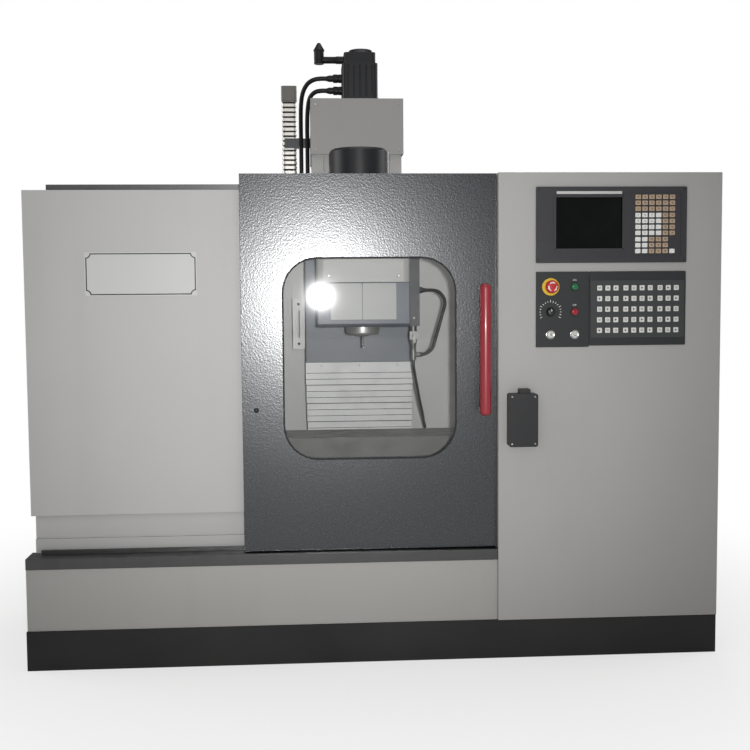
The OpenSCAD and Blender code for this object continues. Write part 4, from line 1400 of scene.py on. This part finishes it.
@dataclass
class Enclosure(Assembly):
    """Plinth, pan, sill, front panel and walls."""

    coats: Tuple[Coat, ...] = (
        Coat("plinth", "plinth_black", Body.FRAME, 0.0016),
        Coat("chip_pan", "base_grey", Body.FRAME, 0.0014),
        Coat("door_sill", "stainless", Body.FRAME, 0.0014),
        Coat("left_front_panel", "enclosure_grey", Body.FRAME, 0.0014, 3),
        Coat("side_walls", "enclosure_grey", Body.FRAME, 0.0010),
        Coat("rear_splash_walls", "inner_white", Body.FRAME, 0.0010),
        Coat("door_top_rail", "stainless", Body.FRAME, 0.0010),
        Coat("bed_casting", "bed_iron", Body.FRAME, 0.0040, 3),
    )
    panel_face: float = low_of("left_front_panel", Y)
    plate_middle: Pair = (-0.760, 1.2885)
    bare_plate: PlateSize = PlateSize(0.362, 0.143, radius=0.003, depth=0.0012, edge=0.0003)
    notch: float = 0.014
    line: float = 0.0034
    line_in: float = 0.004
    line_t: float = 0.0003

    def build(self) -> None:
        """Finishes the sheet metal and fits the bare plate."""
        self.finish_nodes()
        self.fit_plate()

    def fit_plate(self) -> None:
        """Bare plate with a thin dark line round it, notched at the corners."""
        x, z = self.plate_middle
        face = self.panel_face - self.bare_plate.depth
        plate = Shop.plate("bare_plate", (x, face, z), self.bare_plate)
        self.wear(plate, Body.FRAME, "enclosure_grey", "plate_bare")
        long = self.bare_plate.width - 2 * self.line_in
        high = self.bare_plate.height - 2 * self.line_in
        outer, inner = (
            [(x + a, face - self.line_t, z + b) for a, b in self.notched(long, high, self.notch, line)]
            for line in (0.0, self.line)
        )
        ring = Shop.band("plate_line", outer, inner, self.line_t)
        self.wear(ring, Body.FRAME, "enclosure_grey", "mark_dark")

    @staticmethod
    def notched(width: float, height: float, radius: float, inset: float) -> List[Pair]:
        """Outline with hollow corners.

        Args:
            width, height: Its size before it is drawn in.
            radius: Size of the hollow corners.
            inset: How far it is drawn in all round.

        Returns:
            Its points.
        """
        reach = radius + inset
        skew = math.degrees(math.asin(inset / reach))
        points: List[Pair] = []
        for side, level, start in ((1, 1, 270), (-1, 1, 360), (-1, -1, 90), (1, -1, 180)):
            for k in range(Shop.CORNER_FACES + 1):
                angle = math.radians(start - skew - (90 - 2 * skew) * k / Shop.CORNER_FACES)
                across, along = reach * math.cos(angle), reach * math.sin(angle)
                points.append((side * width / 2 + across, level * height / 2 + along))
        return points


@dataclass
class SlidingDoor(Assembly):
    """The sliding door with its window and handle."""

    coats: Tuple[Coat, ...] = (
        Coat("door_panel", "door_slate", Body.DOOR, 0.0014, 3),
        Coat("window_pane", "window_clear", Body.DOOR, 0.0005),
        Coat("handle_posts", "post_chrome", Body.DOOR, 0.0008),
        Coat("door_runners", "nylon", Body.DOOR, 0.0010),
    )
    face: float = low_of("door_panel", Y)
    window_middle: Pair = (centre_of("window_pane", X), centre_of("window_pane", Z))
    window_seal: PlateSize = PlateSize(0.572, 0.665, radius=0.116, depth=0.0018, edge=0.0007, rim=0.0055)
    handle: Pair = (0.355, -0.73175)
    handle_span: Pair = (low_of("door_handle", Z), high_of("door_handle", Z))
    handle_r: float = 0.0185
    handle_end: float = 0.013
    plug: Pair = (-0.391, 0.841)

    def build(self) -> None:
        """Finishes the door and fits the seal, the handle and the plug."""
        self.finish_nodes()
        x, z = self.window_middle
        seal = Shop.plate("window_seal", (x, self.face - self.window_seal.depth, z), self.window_seal)
        self.wear(seal, Body.DOOR, "box_black", "rubber_and_groove_shade")
        self.wear(self.turn_handle(), Body.DOOR, "handle_red", nodes=("door_handle",))
        outline = (
            (0.0, 0.0046), (0.0045, 0.0044), (0.0070, 0.0032), (0.0084, 0.0010), (0.0084, 0.0), (0.0, 0.0)
        )
        place = (self.plug[0], self.face, self.plug[1])
        plug = Shop.turned("door_plug", outline, place, FRONT, steps=32)
        self.wear(plug, Body.DOOR, "box_black")

    def turn_handle(self) -> Piece:
        """Turns a round bar with domed ends.

        Returns:
            The handle.
        """
        low, high = self.handle_span
        end, radius = self.handle_end, self.handle_r
        arc = [
            (radius - end + end * math.sin(math.radians(a)), end - end * math.cos(math.radians(a)))
            for a in range(0, 91, 15)
        ]
        length = high - low
        outline = [(0.0, 0.0), *arc, *[(r, length - h) for r, h in reversed(arc)], (0.0, length)]
        return Shop.turned("handle_bar", outline, (*self.handle, low), UP)


@dataclass
class ControlPanel(Assembly):
    """The control cabinet with its unit, plates, keys, knob and buttons."""

    coats: Tuple[Coat, ...] = (
        Coat("control_cabinet", "cabinet_grey", Body.FRAME, 0.0014, 3),
        Coat("nc_unit", "unit_grey", Body.FRAME, 0.0008),
        Coat("nc_screen", "screen_black", Body.FRAME, 0.0005),
        Coat("operator_plates", "plate_dark", Body.FRAME, 0.0007),
        Coat("operator_keys", "key_pale", Body.FRAME, 0.0005),
        Coat("estop_collar", "collar_yellow", Body.FRAME, 0.0010),
        Coat("switch_box", "box_black", Body.FRAME, 0.0020, 3),
    )
    unit: Pair = (centre_of("nc_unit", X), centre_of("nc_unit", Z))
    screen: Pair = (-0.075, 0.006)
    screen_lip: PlateSize = PlateSize(0.236, 0.183, radius=0.006, depth=0.0014, edge=0.0009, rim=0.0085)
    strip: Pair = (0.700, 1.5415)
    bare_strip: PlateSize = PlateSize(0.216, 0.009, radius=0.001, depth=0.0008, edge=0.0003)
    key_field: PlateSize = PlateSize(0.312, 0.187, radius=0.003, depth=0.0004, edge=0.0001)
    bezel_y: float = -0.70575
    plate_y: float = -0.70375
    plate_z: float = centre_of("operator_plates", Z)
    keys_x: float = 0.8635
    columns: Pair = (0.5735, 0.6535)
    rows: Tuple[float, float, float] = (1.2365, 1.1545, 1.0805)
    key_origin: Pair = (0.862, 1.5275)
    key_pitch: Pair = (0.0228, 0.0193)
    key_gap: float = 0.0012
    key_edge: float = 0.0009
    key_proud: float = 0.0010
    row_slack: float = 0.001
    digit: float = 0.0088
    pad_origin: Pair = (0.7365, 1.2315)
    pad_pitch: Pair = (0.0271, 0.0347)
    pad_gap: float = 0.006
    pad_proud: float = 0.0015
    estop_stack: float = 0.014
    arrow_starts: Tuple[float, ...] = (10.0, 130.0, 250.0)
    arrow_sweep: float = 78.0
    tip_sweep: float = 9.0
    knob_gap: float = 0.0003
    tick_count: int = 17
    tick_start: float = -120.0
    tick_step: float = 15.0
    long_every: int = 4
    tick_span: Tuple[float, float, float] = (0.0315, 0.0365, 0.0395)
    tick_half: float = 0.0009
    tick_t: float = 0.0003
    mark_edge: float = 0.0001
    lens_h: float = 0.0080
    word_size: float = 0.0075
    word_lift: float = 0.0195
    word_proud: float = 0.0002
    screw_in: float = 0.009
    screw_sink: float = 0.0014
    box: Pair = (low_of("switch_box", X), low_of("switch_box", Z))
    box_lid: float = 0.0440
    box_screws: Tuple[Pair, Pair] = ((0.010, 0.085), (0.010, 0.164))
    front_y: float = low_of("control_cabinet", Y)

    def build(self) -> None:
        """Finishes the cabinet and fits everything on its face."""
        self.finish_nodes()
        self.set_keypad()
        self.frame_screen()
        self.lay_field()
        self.set_estop()
        self.set_knob()
        self.set_buttons()
        self.print_legends()
        self.set_screws()

    def set_keypad(self) -> None:
        """Keypad of tan and white keys."""
        piece = Shop.soften("nc_keys", self.key_edge)
        self.wear(piece, Body.FRAME, "key_mixed", nodes=("nc_keys",))
        piece.data.materials.append(self.palette.get("key_white"))
        for face in piece.data.polygons:
            column = round((face.center.x - self.key_origin[0]) / self.key_pitch[0])
            row = round((self.key_origin[1] - face.center.z - self.row_slack) / self.key_pitch[1])
            face.material_index = 1 if self.is_white(row, column) else 0

    @staticmethod
    def is_white(row: int, column: int) -> bool:
        """Whether a keypad key is white rather than tan."""
        return (2 < row < 7 and column < 4) or (row > 6 and column < 2) or (row == 9 and column == 5)

    def frame_screen(self) -> None:
        """Lip round the screen and the bare strip above it."""
        x, z = (middle + shift for middle, shift in zip(self.unit, self.screen))
        lip = Shop.plate("screen_lip", (x, self.bezel_y - self.screen_lip.depth, z), self.screen_lip)
        self.wear(lip, Body.FRAME, "unit_grey")
        x, z = self.strip
        strip = Shop.plate("bare_strip", (x, self.bezel_y - self.bare_strip.depth, z), self.bare_strip)
        self.wear(strip, Body.FRAME, "unit_grey", "plate_bare")

    def lay_field(self) -> None:
        """Lighter film under the operator keys."""
        place = (self.keys_x, self.plate_y - self.key_field.depth, self.plate_z)
        film = Shop.plate("key_field", place, self.key_field)
        self.wear(film, Body.FRAME, "plate_dark", "field_dark")

    def set_estop(self) -> None:
        """Mushroom button with three arc arrows on its top."""
        x, z = self.columns[0], self.rows[0]
        root = self.plate_y - self.estop_stack
        outline = (
            (0.0, 0.0190), (0.0100, 0.0187), (0.0155, 0.0178), (0.0190, 0.0160), (0.0210, 0.0130),
            (0.0215, 0.0090), (0.0215, 0.0030), (0.0205, 0.0008), (0.0190, 0.0), (0.0120, 0.0),
            (0.0120, -0.0490), (0.0, -0.0490),
        )
        cap = Shop.turned("stop_mushroom", outline, (x, root, z), FRONT)
        self.wear(cap, Body.ESTOP, "stop_red", nodes=("estop_button",))
        arc = ((0.0118, 0.0178), (0.0148, 0.0170), (0.0148, 0.01815), (0.0118, 0.01890))
        tip = ((0.0104, 0.0178), (0.0163, 0.0166), (0.0163, 0.0178), (0.0104, 0.01895))
        arrows = [
            Shop.turned(name, shape, (x, root, z), FRONT, sweep, start + turn, steps)
            for start in self.arrow_starts
            for name, shape, sweep, turn, steps in (
                ("arc", arc, self.arrow_sweep, 0.0, 12),
                ("tip", tip, self.tip_sweep, self.arrow_sweep, 3),
            )
        ]
        self.wear(Shop.join("stop_arrows", arrows), Body.ESTOP, "key_pale", "mark_white")

    def set_knob(self) -> None:
        """Override knob with its pointer and the dial's marks."""
        x, z = self.columns[0], self.rows[1]
        root = self.plate_y - self.knob_gap
        outline = (
            (0.0, 0.0190), (0.0095, 0.0190), (0.0112, 0.0183), (0.0119, 0.0168), (0.0132, 0.0062),
            (0.0140, 0.0044), (0.0152, 0.0038), (0.0155, 0.0028), (0.0155, 0.0), (0.0050, 0.0),
            (0.0050, -0.0290), (0.0, -0.0290),
        )
        knob = Shop.turned("knob_grip", outline, (x, root, z), FRONT, steps=36)
        self.wear(knob, Body.OVERRIDE, "knob_black", nodes=("override_knob",))
        pointer = Shop.block(
            "knob_pointer",
            (x - 0.0008, root - 0.0193, z + 0.001),
            (x + 0.0008, root - 0.0187, z + 0.0105),
            0.0002,
        )
        self.wear(pointer, Body.OVERRIDE, "key_pale", "mark_white")
        inner, short, long = self.tick_span
        marks: List[Piece] = []
        for k in range(self.tick_count):
            outer = short if k % self.long_every else long
            foot, head = (-self.tick_half, -self.tick_t, inner), (self.tick_half, 0.0, outer)
            tick = Shop.block("tick", foot, head, self.mark_edge)
            angle = math.radians(self.tick_start + self.tick_step * k)
            tick.matrix_world = Matrix.Translation((x, self.plate_y, z)) @ Matrix.Rotation(angle, 4, "Y")
            marks.append(Shop.settle(tick, "tick"))
        self.wear(Shop.join("dial_marks", marks), Body.FRAME, "key_pale", "mark_white")

    def set_buttons(self) -> None:
        """Four push buttons, two of them in plated rings."""
        left, right = self.columns
        top, middle, low = self.rows
        outline = (
            (0.0, 0.0080), (0.0070, 0.0078), (0.0098, 0.0070), (0.0109, 0.0056), (0.0110, 0.0040),
            (0.0110, -0.0260), (0.0, -0.0260),
        )
        for name, body, slot, x, z in (
            ("start", Body.START, "lens_green", right, top),
            ("stop", Body.STOP, "lens_red", right, middle),
            ("hold", Body.HOLD, "lens_pale", left, low),
            ("cycle", Body.CYCLE, "lens_pale", right, low),
        ):
            lens = Shop.turned(f"{name}_lens", outline, (x, self.plate_y, z), FRONT, steps=36)
            self.wear(lens, body, slot, nodes=(f"{name}_button",))
        ring = (
            (0.01135, 0.0), (0.0154, 0.0), (0.0154, 0.0024),
            (0.0146, 0.0038), (0.0128, 0.0043), (0.01135, 0.0038),
        )
        for name, x in (("hold", left), ("cycle", right)):
            piece = Shop.turned(f"{name}_ring", ring, (x, self.plate_y, low), FRONT)
            self.wear(piece, Body.FRAME, "post_chrome")
        face = self.plate_y - self.lens_h
        bars = [
            Shop.block(
                "bar",
                (left + shift - 0.0008, face - 0.0002, low - 0.004),
                (left + shift + 0.0008, face + 0.0004, low + 0.004),
                self.mark_edge,
            )
            for shift in (-0.0022, 0.0022)
        ]
        self.wear(Shop.join("hold_sign", bars), Body.HOLD, "knob_black", "mark_dark")
        sign = Shop.turned(
            "cycle_sign", ((0.0034, -0.0004), (0.0048, -0.0004), (0.0048, 0.0002), (0.0034, 0.0002)),
            (right, face, low), FRONT, 300.0, 30.0, 24,
        )
        self.wear(sign, Body.CYCLE, "knob_black", "mark_dark")
        for word, z in (("ON", top), ("OFF", middle)):
            place = (right, self.plate_y - self.word_proud, z + self.word_lift)
            piece = Shop.word(word, place, self.word_size)
            self.wear(piece, Body.FRAME, "key_pale", "mark_white")

    def key_place(self, row: int, column: int) -> Point:
        """Middle of a keypad key's face."""
        x = self.key_origin[0] + column * self.key_pitch[0]
        gaps = self.key_gap * ((row > 2) + (row > 6))
        return x, self.bezel_y - self.key_proud, self.key_origin[1] - row * self.key_pitch[1] - gaps

    def pad_place(self, row: int, column: int) -> Point:
        """Middle of an operator key's face."""
        gaps = self.pad_gap * ((column > 2) + (column > 6))
        x = self.pad_origin[0] + column * self.pad_pitch[0] + gaps
        return x, self.plate_y - self.pad_proud, self.pad_origin[1] - row * self.pad_pitch[1]

    def print_legends(self) -> None:
        """Plain signs on the keys: digits on the white ones, bars, rings and arrows on the others."""
        digits = [
            Shop.word(sign, self.key_place(row, column), self.digit, middle=True)
            for row, line in enumerate(("789", "456", "123", "-0."), 3)
            for column, sign in enumerate(line)
        ]
        self.wear(Shop.join("key_digits", digits), Body.FRAME, "knob_black", "mark_dark")
        tan = [
            (row, column) for row in range(10) for column in range(6)
            if not self.is_white(row, column) and not (row in (7, 8) and column == 5)
        ]
        lines = self.bar_sign(0.0042, 0.0026, -0.0024)
        bars = Shop.repeat("key_bars", lines, [Matrix.Translation(self.key_place(*key)) for key in tan])
        self.wear(bars, Body.FRAME, "knob_black", "mark_dark")
        signs: List[Piece] = []
        patterns = (self.bar_sign(0.0044, 0.0030, -0.0026), self.ring_sign(), self.arrow_sign())
        for kind, pattern in enumerate(patterns):
            places = [
                Matrix.Translation(self.pad_place(row, column))
                for row in range(5) for column in range(10) if (2 * row + column) % 3 == kind
            ]
            signs.append(Shop.repeat("sign", pattern, places))
        self.wear(Shop.join("pad_signs", signs), Body.FRAME, "knob_black", "mark_dark")

    @staticmethod
    def bar_sign(long: float, short: float, low: float) -> Piece:
        """Two short bars, one above the other.

        Args:
            long, short: Half the length of the upper and of the lower bar.
            low: Where the lower bar starts.

        Returns:
            The sign.
        """
        return Shop.join("sign", [
            Shop.block("line", (-half, -0.0002, foot), (half, 0.0003, foot + 0.0014), 0.0)
            for half, foot in ((long, 0.0012), (short, low))
        ])

    @staticmethod
    def ring_sign() -> Piece:
        """Ring."""
        outline = ((0.0026, -0.0003), (0.0038, -0.0003), (0.0038, 0.0002), (0.0026, 0.0002))
        return Shop.turned("sign", outline, (0.0, 0.0, 0.0), FRONT, steps=24)

    @staticmethod
    def arrow_sign() -> Piece:
        """Arrow head that points to the right.

        Returns:
            The sign.
        """
        Shop.idle()
        bpy.ops.mesh.primitive_cylinder_add(
            vertices=3, radius=0.0044, depth=0.0005, location=(-0.0008, 0.00005, 0.0), rotation=UPRIGHT
        )
        piece = bpy.context.object
        piece.rotation_euler.y = math.radians(90)
        return Shop.settle(piece, "sign")

    def set_screws(self) -> None:
        """Screws of the unit and of the black box."""
        x, z = self.unit
        half_w = high_of("nc_unit", X) - x - self.screw_in
        half_h = high_of("nc_unit", Z) - z - self.screw_in
        face = self.bezel_y + self.screw_sink
        self.screws("unit_screws", Body.FRAME, 0.0026, [
            (x + a * half_w, face, z + b * half_h) for a in (-1, 1) for b in (-1, 1)
        ], slot="knob_black")
        x, z = self.box
        across, along = self.box_screws
        self.screws("box_screws", Body.FRAME, 0.0027, [
            (x + a, self.front_y - self.box_lid, z + b) for a in across for b in along
        ])


@dataclass
class WorkHead(Assembly):
    """Spindle head, its motor, the cutter and the telescopic cover."""

    coats: Tuple[Coat, ...] = (
        Coat("headstock", "head_slate", Body.HEAD, 0.0035, 3),
        Coat("belt_housing", "belt_grey", Body.HEAD, 0.0030, 3),
        Coat("spindle_motor", "motor_black", Body.HEAD, 0.0012),
        Coat("spindle_nose", "nose_steel", Body.HEAD, 0.0009),
        Coat("coolant_duct", "bracket_dark", Body.HEAD, 0.0014),
        Coat("coolant_valve", "valve_zinc", Body.HEAD, 0.0007),
        Coat("spindle_shaft", "nose_steel", Body.SPINDLE, 0.0007),
    )
    slats: Tuple[Tuple[str, Body], ...] = (
        ("z_cover_top", Body.HEAD), ("z_cover_slat_1", Body.SLAT_1), ("z_cover_slat_2", Body.SLAT_2),
        ("z_cover_slat_3", Body.SLAT_3), ("z_cover_slat_4", Body.SLAT_4), ("z_cover_bottom", Body.FRAME),
    )
    groove: Pair = (0.0003, 0.0011)
    lip: float = 0.0026
    lip_t: float = 0.0003
    lip_r: float = 0.0008
    spindle: Pair = (centre_of("spindle_shaft", X), centre_of("spindle_shaft", Y))
    tip_z: float = low_of("end_mill", Z)
    tool_r: float = 0.004
    tool_end: float = high_of("end_mill", Z)
    flute: float = 0.030
    flutes: int = 4
    flute_depth: float = 0.42
    flute_twist: float = 13.0
    cover_y: float = low_of("z_cover_top", Y)
    cover_z: float = 0.941
    head_front: float = low_of("headstock", Y)
    belt_front: float = low_of("belt_housing", Y)
    duct_front: float = low_of("coolant_duct", Y)
    cover_screws: Tuple[float, ...] = (-0.15, 0.0, 0.15)
    belt_screws: Tuple[Pair, Pair] = ((-0.125, 0.125), (1.285, 1.457))
    duct_x: float = 0.170
    duct_sink: float = 0.0012
    duct_screws: Pair = (1.131, 1.420)
    plate_z: float = 1.193
    head_plates: Tuple[Tuple[str, float, PlateSize], ...] = (
        ("left", -0.0805, PlateSize(0.113, 0.130, radius=0.003, depth=0.0008, edge=0.0003)),
        ("right", 0.0385, PlateSize(0.121, 0.130, radius=0.003, depth=0.0008, edge=0.0003)),
    )

    def build(self) -> None:
        """Finishes the head and fits the cutter and the screws."""
        self.finish_nodes()
        self.line_slats()
        self.wear(self.grind_cutter(), Body.SPINDLE, "screw_steel", nodes=("end_mill",))
        for side, x, size in self.head_plates:
            place = (x, self.head_front - size.depth, self.plate_z)
            self.wear(Shop.plate(f"head_plate_{side}", place, size), Body.HEAD, "belt_grey", "plate_bare")
        x = self.spindle[0]
        self.screws("cover_screws", Body.HEAD, 0.0030, [
            (x + shift, self.cover_y, self.cover_z) for shift in self.cover_screws
        ])
        sides, heights = self.belt_screws
        self.screws("belt_screws", Body.HEAD, 0.0040, [
            (x + side, self.belt_front, z) for side in sides for z in heights
        ])
        self.screws("duct_screws", Body.HEAD, 0.0034, [
            (self.duct_x, self.duct_front + self.duct_sink, z) for z in self.duct_screws
        ])

    def line_slats(self) -> None:
        """Telescopic cover: steel slats with painted shade in their grooves and a wiper along each lower
        edge.
        """
        shallow, deep = self.groove
        for node, body in self.slats:
            piece = Shop.soften(node, 0.0)
            self.wear(piece, body, "cover_steel", nodes=(node,))
            piece.data.materials.append(self.palette.get("rubber_and_groove_shade"))
            corners = [vertex.co for vertex in piece.data.vertices]
            front, low = (min(corner[axis] for corner in corners) for axis in (Y, Z))
            # Painted shade: the groove faces take the dark rubber finish.
            for face in piece.data.polygons:
                if front + shallow <= face.center.y <= front + deep:
                    face.material_index = 1
            wide = 2 * (max(corner.x for corner in corners) - self.spindle[0])
            place = (self.spindle[0], front - self.lip_t, low + self.lip / 2)
            size = PlateSize(wide, self.lip, radius=self.lip_r, depth=self.lip_t, edge=0.0)
            lip = Shop.plate(f"{node}_lip", place, size)
            self.wear(lip, body, "cover_steel", "rubber_and_groove_shade")

    def grind_cutter(self) -> Piece:
        """Grinds an end mill with four twisted flutes below its shank.

        Returns:
            The cutter.
        """
        Shop.idle()
        count, steps = 32, 16
        bpy.ops.mesh.primitive_circle_add(vertices=count, radius=self.tool_r, fill_type="NGON")
        piece = bpy.context.object
        centre = Vector((*self.spindle, self.tip_z))
        for k, vertex in enumerate(piece.data.vertices):
            turn = 2 * math.pi * k / count
            gullet = (0.5 - 0.5 * math.cos(self.flutes * turn)) ** 1.5
            radius = self.tool_r * (1.0 - self.flute_depth * gullet)
            vertex.co = centre + Vector((math.cos(turn), math.sin(turn), 0.0)) * radius
        Shop.edit(piece)
        rise = (0.0, 0.0, self.flute / steps)
        for _ in range(steps):
            bpy.ops.mesh.extrude_region_move(TRANSFORM_OT_translate={"value": rise})
            bpy.ops.transform.rotate(
                value=math.radians(self.flute_twist), orient_axis="Z", center_override=centre
            )
        bpy.ops.mesh.select_all(action="SELECT")
        bpy.ops.mesh.normals_make_consistent(inside=False)
        bpy.ops.object.mode_set(mode="OBJECT")
        top = self.tool_end - self.tip_z
        outline = (
            (0.0, self.flute - 0.001), (0.0030, self.flute - 0.001), (self.tool_r, self.flute + 0.0012),
            (self.tool_r, top), (0.0, top),
        )
        shank = Shop.turned("shank", outline, tuple(centre), UP, steps=32)
        Shop.round_edges(piece, 0.0)
        return Shop.join("cutter", [piece, shank])


@dataclass
class ColumnTop(Assembly):
    """Column, cap, servo motor, leads and conduit."""

    coats: Tuple[Coat, ...] = (
        Coat("column", "column_grey", Body.FRAME, 0.0030),
        Coat("column_cap", "cap_grey", Body.FRAME, 0.0014, 3),
        Coat("z_servo_motor", "motor_black", Body.FRAME, 0.0014),
        Coat("conduit_bracket", "bracket_dark", Body.FRAME, 0.0010),
        Coat("trip_rail", "rail_alu", Body.FRAME, 0.0008),
    )
    cap_front: float = low_of("column_cap", Y)
    rail_front: float = low_of("trip_rail", Y)
    cap_screws: Tuple[Pair, Pair] = ((-0.180, 0.144), (1.785, 1.960))
    rail_x: float = -0.255
    rail_z: float = low_of("trip_rail", Z)
    rail_screws: Pair = (0.022, 0.180)
    motor_side: Point = (-0.071, centre_of("z_servo_motor", Y), low_of("z_servo_motor", Z))
    lead_d: float = 0.018
    leads: Tuple[Tuple[Point, ...], ...] = (
        (
            (-60, 0, 106), (-84, 0, 106), (-112, 4, 102), (-138, 20, 88), (-156, 50, 60), (-164, 90, 20),
            (-166, 140, -40), (-166, 190, -120), (-166, 225, -220), (-166, 240, -340), (-166, 245, -440),
            (-166, 245, -480),
        ),
        (
            (-60, 0, 58), (-82, 0, 58), (-106, 6, 54), (-126, 24, 38), (-136, 60, 6), (-140, 110, -50),
            (-140, 170, -140), (-140, 215, -260), (-140, 245, -420), (-140, 245, -480),
        ),
    )
    conduit_foot: float = low_of("cable_conduit", Z)
    conduit_edge: float = 0.0012
    collar_foot: float = 2.036
    rib_pitch: float = 0.020
    painted_rib_shade: Pair = (0.34, 0.66)

    def shade_conduit(self) -> None:
        """Ribbed conduit: pale ribs, painted shade in the gaps between them and a grey collar on top."""
        piece = Shop.soften("cable_conduit", self.conduit_edge)
        self.wear(piece, Body.FRAME, "conduit_steel", nodes=("cable_conduit",))
        for finish in ("painted_rib_shade", "rib_collar"):
            piece.data.materials.append(self.palette.get(finish))
        # Painted shade: the faces between the ribs take a dark finish.
        start, end = self.painted_rib_shade
        for face in piece.data.polygons:
            share = (face.center.z - self.conduit_foot) / self.rib_pitch % 1.0
            if face.center.z > self.collar_foot:
                face.material_index = 2
            elif start < share < end:
                face.material_index = 1

    def lay_leads(self) -> None:
        """Two leads from the servo motor to the cabinet behind, with their plugs and the top fitting."""
        root = Vector(self.motor_side)
        plug = (
            (0.0, 0.0), (0.0160, 0.0), (0.0170, 0.0010), (0.0170, 0.0120), (0.0155, 0.0135),
            (0.0155, 0.0160), (0.0170, 0.0175), (0.0170, 0.0320), (0.0158, 0.0340), (0.0130, 0.0340),
            (0.0130, 0.0500), (0.0095, 0.0620), (0.0, 0.0620),
        )
        arm = (
            (0.0, 0.0), (0.0150, 0.0), (0.0150, 0.0300), (0.0135, 0.0320), (0.0135, 0.0960), (0.0, 0.0960)
        )
        body = (
            (0.0, 0.0), (0.0185, 0.0), (0.0200, 0.0015), (0.0200, 0.0100), (0.0190, 0.0112),
            (0.0190, 0.0130), (0.0200, 0.0142), (0.0200, 0.0518), (0.0225, 0.0520), (0.0230, 0.0532),
            (0.0062, 0.0826), (0.0, 0.0826),
        )
        pieces = [
            Shop.turned(name, outline, tuple(root + Vector(place)), axis, steps=32)
            for name, outline, place, axis in (
                ("plug", plug, (0.0, 0.0, 0.058), LEFT),
                ("plug", plug, (0.0, 0.0, 0.106), LEFT),
                ("arm", arm, (0.008, -0.010, 0.177), LEFT),
                ("body", body, (-0.090, -0.010, 0.161), UP),
            )
        ]
        self.wear(Shop.join("motor_plugs", pieces), Body.FRAME, "lead_black", nodes=("z_motor_leads",))
        for name, knots in zip(("upper_lead", "lower_lead"), self.leads):
            path = Shop.smooth_path([tuple(root + Vector(knot) * MM) for knot in knots], 3)
            piece = Shop.tube(name, path, self.lead_d)
            self.wear(piece, Body.FRAME, "lead_black", nodes=("z_motor_leads",))
            round(path_length(path), 4)

    def build(self) -> None:
        """Finishes the column, lays the leads and sets the screws."""
        self.finish_nodes()
        self.shade_conduit()
        self.lay_leads()
        sides, heights = self.cap_screws
        self.screws("cap_screws", Body.FRAME, 0.0034, [
            (x, self.cap_front, z) for x in sides for z in heights
        ])
        self.screws("rail_screws", Body.FRAME, 0.0052, [
            (self.rail_x, self.rail_front, self.rail_z + z) for z in self.rail_screws
        ], slot="knob_black")


@dataclass
class WorkTable(Assembly):
    """Saddle, table, ball screw and X motor."""

    coats: Tuple[Coat, ...] = (
        Coat("saddle", "saddle_iron", Body.CROSS_SLIDE, 0.0020),
        Coat("y_way_cover", "cover_steel", Body.CROSS_SLIDE, 0.0008),
        Coat("table", "table_iron", Body.WORK_TABLE, 0.0008),
        Coat("x_end_brackets", "saddle_iron", Body.WORK_TABLE, 0.0020),
        Coat("x_servo_motor", "motor_black", Body.WORK_TABLE, 0.0014),
        Coat("x_ball_screw", "screw_steel", Body.X_SCREW, 0.0010),
    )
    right_end: float = high_of("x_end_brackets", X)
    middle_y: float = centre_of("x_end_brackets", Y)
    bracket_screws: Tuple[Pair, Pair] = ((-0.046, 0.046), (0.594, 0.660))

    def build(self) -> None:
        """Finishes the table and sets the right bracket's screws."""
        self.finish_nodes()
        sides, heights = self.bracket_screws
        self.screws("bracket_screws", Body.WORK_TABLE, 0.0060, [
            (self.right_end, self.middle_y + side, z) for side in sides for z in heights
        ], turn=90.0)


@dataclass
class RearCabinet(Assembly):
    """Electrical cabinet on the back."""

    coats: Tuple[Coat, ...] = (
        Coat("rear_cabinet", "cabinet_grey", Body.FRAME, 0.0014),
        Coat("drive_rack", "drive_grey", Body.FRAME, 0.0014),
        Coat("rear_cabinet_door", "cabinet_grey", Body.REAR_DOOR, 0.0014),
        Coat("rear_door_lock", "box_black", Body.REAR_LOCK, 0.0006),
    )


def main() -> None:
    """Builds the studio and every sub-assembly in order."""
    logging.basicConfig(level=logging.INFO, format="%(name)s: %(message)s")
    palette = Palette()
    Studio().build()
    for kind in (Hoses, Enclosure, SlidingDoor, ControlPanel, WorkHead, ColumnTop, WorkTable, RearCabinet):
        kind(palette).build()
    Shop.idle()


if __name__ == "__main__":
    main()
